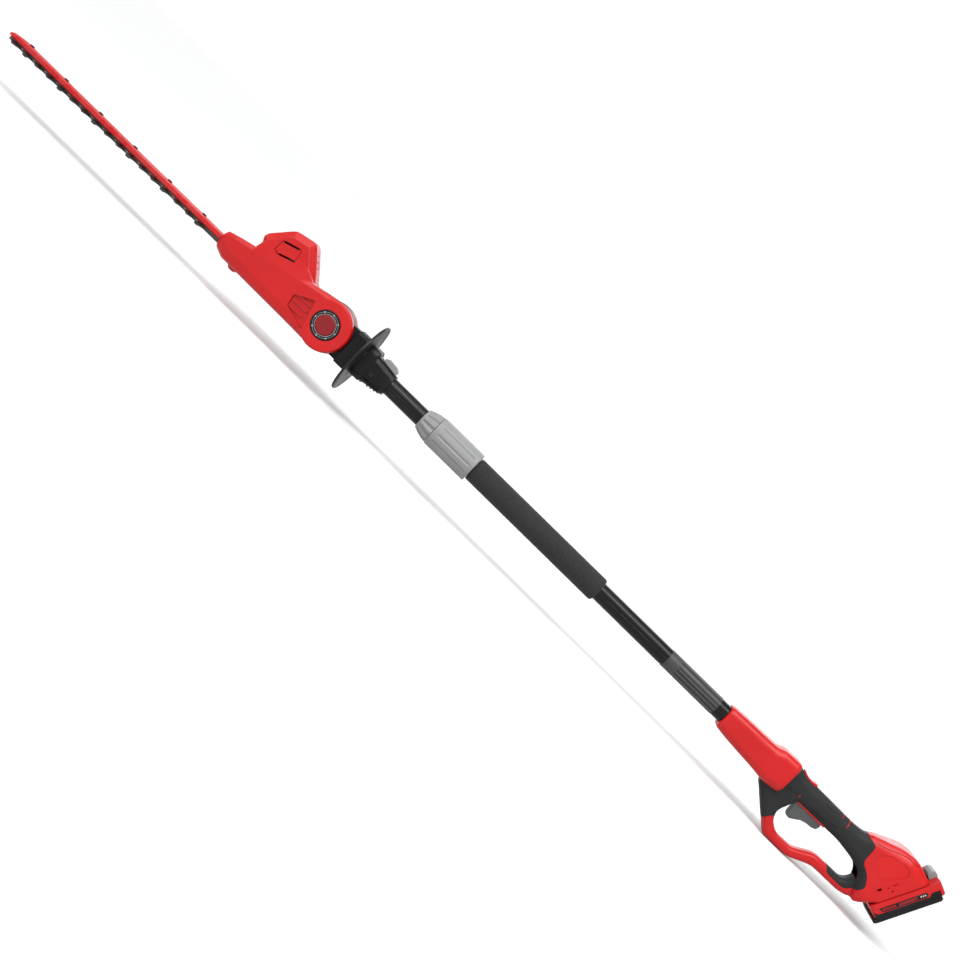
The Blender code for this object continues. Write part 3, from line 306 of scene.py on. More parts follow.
def halves(solid):
    """Split at the middle plane into (left, right) halves; left is the -Y side."""
    far = 1500.0
    left = common(copy_of(solid), box((-far, far), (-far, -GAP / 2), (-far, far)))
    right = common(solid, box((-far, far), (GAP / 2, far), (-far, far)))
    return left, right


def place(solid, name, look, body, slot, *nodes):
    """Name a piece, give it its look, hang it on its body and let it stand for CAD nodes."""
    solid.name = name
    solid.data.name = name
    solid.data.materials.clear()
    solid.data.materials.append(MATERIALS[look])
    solid.data.shade_smooth()
    solid.data.set_sharp_from_angle(angle=math.radians(38))
    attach(solid, body)
    if nodes:
        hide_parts(*nodes)
    return solid


# --- materials


class Surface:
    """A Principled material and short calls that add its procedural detail."""

    def __init__(self, name, roughness, metallic=0.0, sheen=0.0, specular=0.3):
        self.material = bpy.data.materials.new(name)
        self.material.use_nodes = True
        self.tree = self.material.node_tree
        self.shader = self.tree.nodes["Principled BSDF"]
        self.shader.inputs["Roughness"].default_value = roughness
        self.shader.inputs["Metallic"].default_value = metallic
        self.shader.inputs["Sheen Weight"].default_value = sheen
        self.shader.inputs["Specular IOR Level"].default_value = specular
        self.place = self.node("TexCoord").outputs["Object"]

    def node(self, kind):
        return self.tree.nodes.new("ShaderNode" + kind)

    def wire(self, output, node, name):
        self.tree.links.new(output, node.inputs[name])

    def noise(self, scale, detail=3.0, stretch=(1.0, 1.0, 1.0)):
        mapping = self.node("Mapping")
        mapping.inputs["Scale"].default_value = stretch
        self.wire(self.place, mapping, "Vector")
        noise = self.node("TexNoise")
        noise.inputs["Scale"].default_value = scale
        noise.inputs["Detail"].default_value = detail
        self.wire(mapping.outputs["Vector"], noise, "Vector")
        return noise.outputs["Fac"]

    def ranged(self, output, low, high, from_low=0.3, from_high=0.7):
        node = self.node("MapRange")
        node.inputs["From Min"].default_value = from_low
        node.inputs["From Max"].default_value = from_high
        node.inputs["To Min"].default_value = low
        node.inputs["To Max"].default_value = high
        self.wire(output, node, "Value")
        return node.outputs["Result"]

    def mixed(self, factor, first, second):
        """A colour between two; each is a colour or another node's output."""
        node = self.node("Mix")
        node.data_type = "RGBA"
        self.wire(factor, node, 0)
        for index, colour in ((6, first), (7, second)):  # the node's two colour inputs
            if isinstance(colour, tuple):
                node.inputs[index].default_value = (*colour, 1.0)
            else:
                self.wire(colour, node, index)
        return node.outputs[2]

    def colour(self, base, spread=0.1, scale=9.0):
        """The base colour, a little darker and lighter in soft patches."""
        darker = tuple(c * (1 - spread) for c in base)
        lighter = tuple(min(1.0, c * (1 + spread)) for c in base)
        patches = self.ranged(self.noise(scale), 0.0, 1.0)
        return self.mixed(patches, darker, lighter)

    def edge_wear_and_highlight(self, colour, pale_edge_colour, amount):
        """Paler along the sharpest edges, broken up by noise. On paint, rubber and steel this is chips, dust and
        grinding; on the mouldings it is partly wear and partly a painted highlight.
        """
        geometry = self.node("NewGeometry")
        edges = self.ranged(geometry.outputs["Pointiness"], 0.0, amount, 0.53, 0.62)
        broken = self.node("Math")
        broken.operation = "MULTIPLY"
        self.wire(edges, broken, 0)
        self.wire(self.ranged(self.noise(70.0), 0.0, 1.0, 0.4, 0.6), broken, 1)
        return self.mixed(broken.outputs[0], colour, pale_edge_colour)

    def finish(self, colour, rough, grain, depth, detail=3.0, stretch=(1.0, 1.0, 1.0)):
        """Wire the colour, a roughness that wanders between two values, and a bump of the given grain."""
        self.wire(colour, self.shader, "Base Color")
        wander = self.ranged(self.noise(55.0, stretch=stretch), rough[0], rough[1])
        self.wire(wander, self.shader, "Roughness")
        bump = self.node("Bump")
        bump.inputs["Strength"].default_value = 0.6
        bump.inputs["Distance"].default_value = depth * MM
        self.wire(self.noise(grain, detail, stretch), bump, "Height")
        self.wire(bump.outputs["Normal"], self.shader, "Normal")
        return self.material


# Below, rough is the lowest and the highest roughness, and grain the scale of the surface's noise.
def moulded(name, base, rough, spread=0.08, grain=1100.0, depth=0.06, wear_and_highlight=0.12, specular=0.3):
    surface = Surface(name, sum(rough) / 2, specular=specular)
    # The paler sharp edges are partly wear and partly a painted highlight along the edges.
    paler = tuple(min(1.0, c * 1.35 + 0.03) for c in base)
    return surface.finish(surface.edge_wear_and_highlight(surface.colour(base, spread), paler, wear_and_highlight), rough, grain, depth)


def soft_rubber(name, base):
    surface = Surface(name, 0.62, sheen=0.03, specular=0.14)
    dusty = tuple(c * 1.5 + 0.008 for c in base)
    colour = surface.edge_wear_and_highlight(surface.colour(base, 0.12, 14.0), dusty, 0.5)
    return surface.finish(colour, (0.52, 0.68), 1500.0, 0.14, detail=2.0)


def foam_rubber():
    surface = Surface("foam_rubber", 0.9, sheen=0.06, specular=0.15)
    pores = surface.ranged(surface.noise(900.0, 2.0), 0.0, 1.0)
    colour = surface.mixed(pores, (0.009,) * 3, (0.026,) * 3)
    return surface.finish(colour, (0.82, 0.95), 700.0, 0.5, detail=4.0)


def gloss_paint(name, base, chips=0.3, specular=0.25):
    surface = Surface(name, 0.22, specular=specular)
    colour = surface.edge_wear_and_highlight(surface.colour(base, 0.06, 6.0), (0.3, 0.29, 0.28), chips)
    return surface.finish(colour, (0.17, 0.28), 260.0, 0.03, detail=2.0)


def ground_steel(name, base, rough, along=(1.0, 30.0, 30.0)):
    """Steel with fine grinding lines along X."""
    surface = Surface(name, sum(rough) / 2, metallic=1.0)
    bright = tuple(min(1.0, c * 2.2) for c in base)
    colour = surface.edge_wear_and_highlight(surface.colour(base, 0.22, 26.0), bright, 0.6)
    return surface.finish(colour, rough, 70.0, 0.05, detail=4.0, stretch=along)


LABEL_BLOCK = 22.0  # length of the plain block


def printed_film():
    """A grey label: a plain block at its front end, then stripes along the tube, and no words."""
    surface = Surface("printed_film", 0.5)
    split = surface.node("SeparateXYZ")
    surface.wire(surface.place, split, "Vector")
    start = span("tube_label")[0] + LABEL_BLOCK
    bars = surface.node("TexWave")
    bars.inputs["Scale"].default_value = 48.0
    bars.inputs["Distortion"].default_value = 0.0
    bars.bands_direction = "Z"
    surface.wire(surface.place, bars, "Vector")
    lines = surface.ranged(bars.outputs["Fac"], 0.0, 0.5, 0.6, 0.75)
    paper = surface.mixed(lines, (0.012, 0.012, 0.012), (0.075, 0.075, 0.075))
    block = surface.ranged(split.outputs["X"], 0.0, 1.0, start * MM, (start + 0.5) * MM)
    colour = surface.mixed(block, (0.03, 0.03, 0.03), paper)
    return surface.finish(colour, (0.4, 0.55), 500.0, 0.02)


MATERIALS = {
    "red": moulded("red_moulding", (0.36, 0.004, 0.0045), (0.3, 0.42), 0.06, specular=0.25),
    # deep red: the charge window's own colour, and painted shade on the dial cap
    "deep_red_and_shade": moulded("deep_red_and_shaded_cap", (0.15, 0.006, 0.008), (0.42, 0.52), 0.08, specular=0.2),
    "black": moulded("black_moulding", (0.005, 0.005, 0.0055), (0.3, 0.45), 0.2, specular=0.15),
    "guard": moulded("guard_moulding", (0.009, 0.0105, 0.010), (0.36, 0.5), 0.2, specular=0.15),
    "grey": moulded("grey_moulding", (0.17, 0.171, 0.173), (0.42, 0.54), 0.06),
    "trigger": moulded("trigger_moulding", (0.05, 0.055, 0.054), (0.42, 0.54), 0.08),
    "overmould": soft_rubber("soft_grip", (0.013, 0.0135, 0.0135)),
    "foam": foam_rubber(),
    "tube": gloss_paint("tube_paint", (0.004, 0.004, 0.0045), specular=0.16),
    "bar": gloss_paint("bar_paint", (0.39, 0.005, 0.0055), chips=0.2),
    "blade": ground_steel("blade_steel", (0.06, 0.055, 0.053), (0.34, 0.5)),
    "steel": ground_steel("plated_steel", (0.4, 0.4, 0.39), (0.25, 0.4)),
    "oxide": ground_steel("black_oxide", (0.03, 0.03, 0.032), (0.38, 0.5)),
    "alloy": ground_steel("cast_alloy", (0.5, 0.5, 0.51), (0.38, 0.5), (1.0, 1.0, 1.0)),
    "film": printed_film(),
    "print": moulded("pale_print", (0.3, 0.3, 0.3), (0.4, 0.5)),
    "sleeve": moulded("cell_sleeve", (0.03, 0.16, 0.22), (0.3, 0.4)),
}
SLOT_LOOKS = {  # the record's slot of a carried-over node, and the look it gets
    "red_plastic": "red",
    "black_plastic": "black",
    "grey_plastic": "grey",
    "dark_grey_plastic": "guard",
    "trigger_grey": "trigger",
    "overmould": "overmould",
    "foam": "foam",
    "tube_paint": "tube",
    "red_metal": "bar",
    "blade_steel": "blade",
    "steel": "steel",
    "dark_steel": "oxide",
    "aluminium": "alloy",
    "label": "film",
    "cell_wrap": "sleeve",
}
EDGE_WIDTHS = {  # of the rounded edges of the CAD nodes that show; the others have the usual one
    "trigger": 1.2,
    "lock_off_button": 0.8,
    "battery_case_upper": 0.9,
    "battery_case_lower": 0.9,
    "battery_latch": 0.8,
    "pivot_lock_slider": 0.7,
    "neck_shell_left": 0.7,
    "neck_shell_right": 0.7,
    "blade_support_bar": 0.5,
}
USUAL_EDGE = 0.3
LEFT_SHARP = ("spring", "lead", "gear", "pinion")  # in the names of nodes that keep their edges


def dress_nodes():
    """Every carried-over CAD node gets its look, and all but the springs, leads, gears and pinions a small rounded
    edge.
    """
    slots = {row["node"]: row["material_slot"] for row in frame["record"]["subparts"]}
    for name, node in frame["nodes"].items():
        node.data.materials.clear()
        look = "oxide" if name.startswith("neck_screw") else SLOT_LOOKS[slots[name]]
        node.data.materials.append(MATERIALS[look])
        weld = node.modifiers.new("weld", "WELD")
        weld.merge_threshold = 0.02 * MM
        if any(word in name for word in LEFT_SHARP):
            continue
        bevel = node.modifiers.new("rounded edges", "BEVEL")
        bevel.width = EDGE_WIDTHS.get(name, USUAL_EDGE) * MM
        bevel.segments = 2
        bevel.limit_method = "ANGLE"
        bevel.angle_limit = math.radians(35)
        bevel.harden_normals = False


# --- rear handle

HANDLE = (  # low (x, z), high (x, z), half width, corner roundness: nose, grip, then the rear housing
    ((562.5, -20.5), (562.5, 17.5), 19.0, 0.62),
    ((567.0, -23.0), (567.0, 19.8), 21.0, 0.6),
    ((655.0, -30.5), (656.0, 23.2), 24.0, 0.55),
    ((671.0, -32.0), (672.0, 28.8), 26.0, 0.5),
    ((700.0, -30.0), (700.0, 29.6), 26.0, 0.5),
    ((703.4, -28.5), (703.4, 28.4), 24.5, 0.5),
    ((705.5, -25.5), (705.5, 26.2), 21.0, 0.65),
    ((713.0, -21.0), (713.0, 24.5), 18.8, 0.8),
    ((732.0, -19.0), (732.0, 20.5), 17.2, 0.85),
    ((785.0, -18.0), (785.0, 20.0), 17.5, 0.88),
    ((825.0, -17.5), (825.0, 19.5), 16.8, 0.88),
    ((848.0, -20.0), (850.0, 22.2), 18.5, 0.8),
    ((868.0, -23.5), (862.0, 29.0), 21.5, 0.65),
    ((886.0, -35.0), (884.0, 38.0), 27.5, 0.5),
    ((899.0, -62.0), (909.0, 47.2), 33.0, 0.42),
    ((904.0, -67.5), (927.0, 49.5), 36.0, 0.38),
    ((928.3, -47.2), (967.2, 38.3), 37.0, 0.3),
)
GUARD = (  # low is the outer edge of the D, high its inner edge
    ((677.0, -20.0), (746.0, -9.0), 15.5, 0.6),
    ((672.5, -33.0), (738.5, -23.0), 16.0, 0.6),
    ((686.0, -46.5), (733.5, -34.0), 15.5, 0.6),
    ((704.0, -63.0), (729.0, -49.5), 14.5, 0.65),
    ((721.5, -78.0), (733.5, -62.5), 13.5, 0.7),
    ((742.5, -93.4), (756.5, -77.0), 13.0, 0.7),
    ((779.5, -93.4), (780.5, -76.5), 13.0, 0.7),
    ((834.5, -75.8), (826.5, -57.0), 13.0, 0.7),
    ((879.0, -75.0), (871.0, -56.5), 13.5, 0.7),
    ((898.0, -71.0), (886.0, -44.0), 16.0, 0.6),
    ((914.0, -58.0), (889.0, -33.0), 18.0, 0.6),
)
HANDLE_CAVITY = (
    ((640.2, -15.0), (640.2, 15.0), 14.5, 0.6),
    ((668.0, -24.0), (668.0, 21.0), 20.0, 0.5),
    ((699.0, -19.0), (699.0, 20.0), 16.5, 0.6),
    ((716.0, -13.0), (716.0, 14.0), 11.5, 0.6),
    ((732.0, -11.5), (732.0, 13.5), 10.6, 0.6),
    ((825.0, -11.0), (825.0, 12.5), 10.4, 0.6),
    ((850.0, -13.0), (851.0, 15.0), 11.5, 0.6),
    ((884.0, -36.0), (882.0, 30.0), 21.0, 0.5),
    ((904.0, -52.0), (910.0, 40.0), 28.0, 0.4),
    ((918.0, -35.9), (952.0, 38.7), 31.0, 0.3),
)
# The soft grip's side outline: the strut and the grip's underside, the rear inner corner, then the top
SOFT_STRUT = [(704.5, 45), (704.5, -28), (668, -33), (668, -50), (712, -86.5), (724.5, -61.4), (760, -45)]
SOFT_CORNER = [(843.2, -55.5), (849.6, -65.5), (886.1, -65.7), (897.8, -49.7), (902.2, -38), (892, -21.9)]
SOFT_ZONE = SOFT_STRUT + SOFT_CORNER + [(874.4, -11.7), (871.5, 20.5), (852, 24), (852, 45)]
HANDLE_SCREWS = {  # each screw's (x, z), and how far out from the middle its head sits
    (660.0, -19.0): 18.0,
    (712.0, -52.0): 9.5,
    (898.0, 29.0): 24.0,
    (908.0, -54.0): 14.0,
}
SCREW_POST, SCREW_HEAD, SCREW_BORE = 4.8, 3.8, 2.0  # radii
TRIGGER_SLOT = ((733.5, 796.5), (-8.0, 8.0))
LOCK_SLOT = ((713.0, 747.0), (-8.3, 8.3))
RIM_LENGTH, RIM_HALF_WIDTH = (732.5, 797.5), 9.2  # the red rim round the trigger
GRIP_LINES = (  # x and z ranges of the red lines on the grip
    ((805.4, 806.6), (14.5, 30.0)),
    ((819.4, 820.6), (7.5, 30.0)),
    ((732.6, 733.8), (-11.5, -6.0)),
)
GRIP_GROOVES = (
    [(766, 17), (769, 13.5), (776, 11.2), (790, 11.8), (804, 14.5)],
    [(757, -9), (770, -9.5), (786, -9), (799, -6), (812, -1)],
)
HOUSING_PANEL = [(883, 1), (882, 13), (893, 26), (922, 33.5), (934, 28), (933, 17), (906, -13)]
HOUSING_SEAM = [(866, 23.5), (884, 29.5), (900, 37), (914, 42.5), (936, 43)]
HOUSING_SLOTS = (  # along and out in the battery's own directions, length, width
    (-33.0, -19.0, 7.0, 4.2),
    (-19.0, -17.0, 3.5, 1.3),
    (-7.0, -18.0, 8.0, 1.3),
    (-15.0, -10.0, 2.4, 2.4),
)
PACK_ALONG = Vector(next(j for j in frame["joints"] if j["name"] == "battery_slide")["axis"])
PACK_OUT = Vector((PACK_ALONG.z, 0.0, -PACK_ALONG.x))
PACK_CENTRE = Vector((949.0, 0.0, -1.7))
PACK_RAILS = (  # along, across and out ranges of the room for the battery's rails and the terminals
    ((-51.0, 90.0), (-21.8, 21.8), (-5.0, 5.0)),
    ((-51.0, 90.0), (-25.3, 25.3), (-10.0, -3.6)),
    ((-50.2, -29.8), (-16.8, 16.8), (-20.0, -9.0)),
)


def pack_point(a, y, h):
    """A point in the battery's own directions: a along its slide, h out from the handle's rear face."""
    return PACK_CENTRE + a * PACK_ALONG + Vector((0.0, y, 0.0)) + h * PACK_OUT


def pack_box(a, y, h):
    """A box with ranges along, across and out in the battery's own directions."""
    corners = ((a[0], h[0]), (a[1], h[0]), (a[1], h[1]), (a[0], h[1]))
    return skin([[pack_point(along, across, out) for along, out in corners] for across in y])


def rounded(outline, radius):
    """The outline with each corner turned into a short curve."""
    points = []
    count, steps = len(outline), 5
    for i, corner in enumerate(outline):
        here = Vector(corner)
        before, after = Vector(outline[i - 1]), Vector(outline[(i + 1) % count])
        reach = min(radius, (before - here).length * 0.45, (after - here).length * 0.45)
        start = here + (before - here).normalized() * reach
        end = here + (after - here).normalized() * reach
        for k in range(steps + 1):
            t = k / steps
            points.append(tuple(start * (1 - t) ** 2 + here * 2 * t * (1 - t) + end * t * t))
    return points


def handle_form():
    """The handle's whole moulding, hollow and with room for the pieces that it holds."""
    form = melt(join(station_loft(HANDLE), station_loft(GUARD)), 1.5, 4)
    cavity = station_loft(HANDLE_CAVITY, steps=4, longest=15.0)
    for x, z in HANDLE_SCREWS:
        cavity = cut(cavity, rod("Y", (x, 0, z), SCREW_POST, -50, 50, 24))
    guard_hollow = station_loft(GUARD[4:9], inset=5.5, steps=4)
    bore = rod("X", (0, 0, 0), radius_of("lower_tube") + GAP, 550, span("lower_tube")[1] + GAP, 64)
    form = cut(form, cavity, guard_hollow, bore)
    form = cut(form, box(*TRIGGER_SLOT, (-40, -7)), box(*LOCK_SLOT, (8, 40)))
    for ranges in PACK_RAILS:
        form = cut(form, pack_box(*ranges))
    return form


def make_handle():
    """The red shells and the soft grip, which share one form and part along the soft zone's outline."""
    form = handle_form()
    zone = rounded(SOFT_ZONE, 7.0)
    red = cut(copy_of(form), prism(zone, -60, 60))
    soft = common(form, prism(offset_outline(zone, GAP), -60, 60))
    rim_half = RIM_HALF_WIDTH + GAP
    soft = cut(soft, box((RIM_LENGTH[0] - GAP, RIM_LENGTH[1] + GAP), (-rim_half, rim_half), (-30, -10)))
    red = cut(red, *housing_slots())
    soft = cut(soft, *grip_grooves())
    for solid, name, look, slot in (
        (red, "handle_shell", "red", "red_plastic"),
        (soft, "grip_overmould", "overmould", "overmould"),
    ):
        left, right = halves(solid)
        for (x, z), seat in HANDLE_SCREWS.items():
            right = cut(right, rod("Y", (x, 0, z), SCREW_HEAD, seat if look == "red" else 0.0, 50))
            right = cut(right, rod("Y", (x, 0, z), SCREW_BORE, -1, 50, 24))
        place(left, name + "_left_skin", look, "handle", slot, name + "_left")
        place(right, name + "_right_skin", look, "handle", slot, name + "_right")


def housing_slots():
    """The sunk panel and seam on both sides of the rear housing, and the small slots in its left side."""
    shaved = join(prism(rounded(HOUSING_PANEL, 6.0), -60, 60), strip(HOUSING_SEAM, 1.1, -60, 60))
    slots = [cut(shaved, station_loft(HANDLE[11:], inset=1.1))]
    for a, h, length, width in HOUSING_SLOTS:
        along, out = (a - length / 2, a + length / 2), (h - width / 2, h + width / 2)
        slots.append(pack_box(along, (-50, -27), out))
    return slots


def strip(points, width, y_low, y_high):
    """A thin band along a line of (x, z) points, extruded across the tool."""
    near, far = [], []
    for i, point in enumerate(points):
        ahead = Vector(points[min(i + 1, len(points) - 1)]) - Vector(points[max(i - 1, 0)])
        side = Vector((-ahead.y, ahead.x)).normalized() * width / 2
        near.append(tuple(Vector(point) + side))
        far.append(tuple(Vector(point) - side))
    return prism(near + far[::-1], y_low, y_high)


def grip_grooves():
    """Shallow lines moulded into both sides of the grip."""
    grooves = []
    for line in GRIP_GROOVES:
        for y_low, y_high in ((-30.0, -13.6), (13.6, 30.0)):
            grooves.append(strip(line, 0.9, y_low, y_high))
    return grooves


def make_grip_trim():
    """The red rim round the trigger and the red lines on the grip."""
    rim = box(RIM_LENGTH, (-RIM_HALF_WIDTH, RIM_HALF_WIDTH), (-18.9, -12.0))
    rim = cut(rim, box(*TRIGGER_SLOT, (-30, -5)))
    place(rim, "trigger_rim", "red", "handle", "red_plastic")
    grip = station_loft(HANDLE[7:12], inset=-0.25)
    lines = join(*[box(x, (-30, 30), z) for x, z in GRIP_LINES])
    lines = cut(common(grip, lines), station_loft(HANDLE[7:12], inset=0.8))
    place(lines, "grip_red_lines", "red", "handle", "red_plastic")


# --- power head

HEAD_STATIONS = (  # x, low z, high z, half width
    (-532.5, -31.5, -9.0, 15.0),
    (-528.0, -34.0, -1.0, 20.0),
    (-511.0, -40.0, 3.5, 25.0),
    (-486.5, -40.0, 9.0, 27.5),
    (-440.0, -40.5, 19.0, 28.5),
    (-372.0, -41.0, 32.5, 29.0),
    (-345.0, -41.5, 37.5, 29.0),
    (-322.0, -42.0, 41.5, 29.0),
)
HEAD_CAVITY = (
    (-516.0, -36.0, -1.0, 20.0),
    (-486.5, -36.5, 5.0, 24.0),
    (-440.0, -37.0, 15.0, 25.0),
    (-388.0, -37.4, 25.5, 25.3),
)
HUMP_FRONT = [(-484, 0), (-479, 23.5), (-483.5, 32.5), (-480.5, 40.5), (-455, 69), (-449, 74)]
HUMP_REAR = [(-408.5, 76), (-385, 49), (-370.5, 31), (-350, 0)]
HUMP = HUMP_FRONT + [(-419.5, 80), (-413, 79.5)] + HUMP_REAR
HUMP_LAYERS = ((-25.0, 11.0), (-14.5, 0.0), (14.5, 0.0), (25.0, 11.0))  # across, inset
HUMP_CHEEKS = (  # x, height of the shoulder, height of the top
    (-477.0, 4.5, 22.0),
    (-468.0, 6.0, 40.0),
    (-392.0, 21.5, 44.0),
    (-374.0, 25.5, 33.5),
)
CHEEK_SHOULDER, CHEEK_TOP = 28.6, 25.2  # half widths
HUMP_CAVITY = [(-462, 8), (-462, 30), (-448, 62), (-412, 69), (-390, 43), (-382, 27), (-382, 8)]
HUMP_CAVITY_LAYERS = ((-21.0, 7.0), (-13.5, 0.0), (13.5, 0.0), (21.0, 7.0))
HEAD_FOOT = [(-497.0, -38.0), (-495.0, -43.5), (-491.0, -45.0), (-483.0, -45.0), (-478.0, -38.0)]
HEAD_SCREWS = {(-500.0, -3.0): 18.0, (-392.0, -31.0): 14.0, (-388.0, 30.0): 14.0}  # as HANDLE_SCREWS
HEAD_SCREW_POST, HEAD_SCREW_HEAD = 4.6, 3.7  # radii
BAR_MOUTH = ((-540.0, -510.0), (-14.0, 14.0), (-29.3, -9.5))  # where the cutter bar comes out
PIVOT = (PIVOT_X, 0.0, 0.0)
PIVOT_POCKETS = (  # radius, from and to across the tool, sides: bolt, its two ends, dial, cap
    (5.3, -40.0, 40.0, 48),
    (9.8, -40.0, -22.2, 48),
    (9.8, 22.2, 40.0, 48),
    (24.6, -40.0, -27.0, 96),
    (17.0, 27.0, 40.0, 96),
)
VENT_PANEL = [(-455, 30), (-454.5, 49.5), (-423.5, 58.5), (-419.5, 54.5), (-416.5, 36), (-446, 26.5)]
VENT_SLOTS = (((-451.5, 48.6), (-425.0, 56.3)), ((-444.5, 28.6), (-418.8, 36.9)))
GROOVE_FLOOR, BLIND_FLOOR = 23.6, 22.6  # how far out the vents' groove and the blind slots start
RIB_RECESS = [(-384.0, 0.5), (-352.0, 17.0), (-338.5, -31.0), (-380.0, -19.0)]
RIB_HEIGHTS = (5.0, -6.0, -17.0)
RIB_FLOOR, RIB_TOP, DIAL_BORDER = 24.8, 27.6, 31.5


def hump_cheeks():
    """The flanks that fair the hump into the head."""
    rings = []
    for x, shoulder, top in HUMP_CHEEKS:
        side = ((x, CHEEK_SHOULDER, 0.0), (x, CHEEK_SHOULDER, shoulder), (x, CHEEK_TOP, top))
        rings.append([(x, -y, z) for x, y, z in side] + list(reversed(side)))
    return skin(rings)


def head_form():
    """The head's outer shape: body, hump, cheeks, the round boss at the pivot and the foot below."""
    form = join(
        chamfered_loft(HEAD_STATIONS, (11, 18), (6, 7)),
        layered_prism(HUMP, HUMP_LAYERS),
        hump_cheeks(),
    )
    edge = radius_of("head_shell_left", "Y") * 2 - GAP / 2
    boss = [(-edge, 40.5), (-edge + 2.5, 43.0), (edge - 2.5, 43.0), (edge, 40.5)]
    form = join(form, turned(boss, "Y", PIVOT), prism(HEAD_FOOT, -9, 9))
    return melt(form, 1.3, 3)


def vent_cutters():
    """A six-sided groove on each side of the hump, with a slot at its top and its bottom.

    Only the left side's slots go through the wall; the right side's are blind, so no light comes through.
    """
    cutters = []
    inner = offset_outline(VENT_PANEL, 2.0)
    for side in (-1, 1):
        low, high = sorted((side * GROOVE_FLOOR, side * 40))
        cutters.append(cut(prism(VENT_PANEL, low, high), prism(inner, low - 5, high + 5)))
    for line in VENT_SLOTS:
        cutters += [strip(line, 3.2, -40, -12), strip(line, 3.2, BLIND_FLOOR, 40)]
    return cutters


def slope_grooves():
    """Three lines across the hump's rear slope, each 1 mm wide."""
    top, foot = Vector(HUMP_REAR[0]), Vector(HUMP_REAR[1])
    along = (foot - top).normalized() * 0.5
    out = Vector((-along.y, along.x)).normalized()
    inner, outer = -1.3 * out, 4 * out
    grooves = []
    for share in (0.3, 0.58, 0.86):
        spot = top.lerp(foot, share)
        corners = (spot - along + inner, spot + along + inner, spot + along + outer, spot - along + outer)
        grooves.append(prism([tuple(corner) for corner in corners], -30, 30))
    return grooves


def rib_cutters():
    """The sunk panel beside the dial on each side, which leaves three ribs standing."""
    cutters = []
    for side in (-1, 1):
        low, high = sorted((side * RIB_FLOOR, side * 40))
        recess = prism(rounded(RIB_RECESS, 3.0), low, high)
        recess = cut(recess, rod("Y", PIVOT, DIAL_BORDER, low - 1, high + 1, 96))
        rib = sorted((side * 20.0, side * RIB_TOP))
        for z in RIB_HEIGHTS:
            recess = cut(recess, box((-379, -350), rib, (z - 1.2, z + 1.2)))
        cutters.append(recess)
    return cutters


def make_head():
    shell = head_form()
    cavity = join(
        chamfered_loft(HEAD_CAVITY, (9, 16), (4, 5)),
        layered_prism(HUMP_CAVITY, HUMP_CAVITY_LAYERS),
        rod("Z", (MOTOR_X, 0, 0), radius_of("motor_can") + 1.2, 0, span("motor_can", "Z")[1] + 1.1),
    )
    for x, z in HEAD_SCREWS:
        cavity = cut(cavity, rod("Y", (x, 0, z), HEAD_SCREW_POST, -40, 40, 24))
    fork_gap = rod("Y", PIVOT, 54.5, -13, 13, 96)
    shell = cut(shell, cavity, fork_gap, box(*BAR_MOUTH))
    for radius, low, high, sides in PIVOT_POCKETS:
        shell = cut(shell, rod("Y", PIVOT, radius, low, high, sides))
    shell = cut(shell, *vent_cutters())
    shell = cut(shell, *rib_cutters())
    shell = cut(shell, *slope_grooves())
    left, right = halves(shell)
    for (x, z), seat in HEAD_SCREWS.items():
        left = cut(left, rod("Y", (x, 0, z), SCREW_BORE, -15, 1, 24))
        right = cut(right, rod("Y", (x, 0, z), SCREW_BORE, -1, 40, 24))
        right = cut(right, rod("Y", (x, 0, z), HEAD_SCREW_HEAD, seat, 40, 32))
    place(left, "head_shell_left_skin", "red", "head", "red_plastic", "head_shell_left")
    place(right, "head_shell_right_skin", "red", "head", "red_plastic", "head_shell_right")


# Distances out from the tool's middle plane, with radii round the pivot
DIAL_FACE = [(-29.8, 17), (-30, 17.2), (-30, 23.4), (-29.8, 23.9), (-29.4, 24.1)]
PIVOT_CAP = ((27.3, 16.4), (30, 16.4), (30.6, 15.9), (30.9, 14.6), (31, 13), (30.7, 6), (30.6, 0.4))
DIAL_MARKS_AT = 20.6


def make_dial():
    """The angle dial: a black ring with light marks every 45 degrees, and the caps over the pivot bolt."""
    ring = turned(DIAL_FACE + [(-27.3, 24.1), (-27.3, 17)], "Y", PIVOT, 128, True)
    place(ring, "dial_ring_skin", "black", "head", "black_plastic", "dial_ring")
    # The left cap's darker red is painted shade; the right cap has the plain red.
    for name, side, look in (("dial_cap", -1, "deep_red_and_shade"), ("pivot_cap", 1, "red")):
        cap = turned([(side * out, radius) for out, radius in PIVOT_CAP], "Y", PIVOT, 128)
        place(cap, name + "_skin", look, "head", "red_plastic", name)
    inner_line = [(-30.12, 17.25), (-30.12, 17.75), (-29.9, 17.75), (-29.9, 17.25)]
    middle_line = [(-30.1, 20.4), (-30.1, 20.75), (-29.9, 20.75), (-29.9, 20.4)]
    marks = join(*[turned(line, "Y", PIVOT, 128, True) for line in (inner_line, middle_line)])
    for i in range(8):
        angle = math.radians(45 * i)
        spot = (PIVOT_X + DIAL_MARKS_AT * math.cos(angle), 0, DIAL_MARKS_AT * math.sin(angle))
        marks = join(marks, rod("Y", spot, 1.15, -30.2, -29.9, 24))
    place(marks, "dial_marks", "print", "head", "grey_plastic")


# --- neck, guard disc, pole and coupling


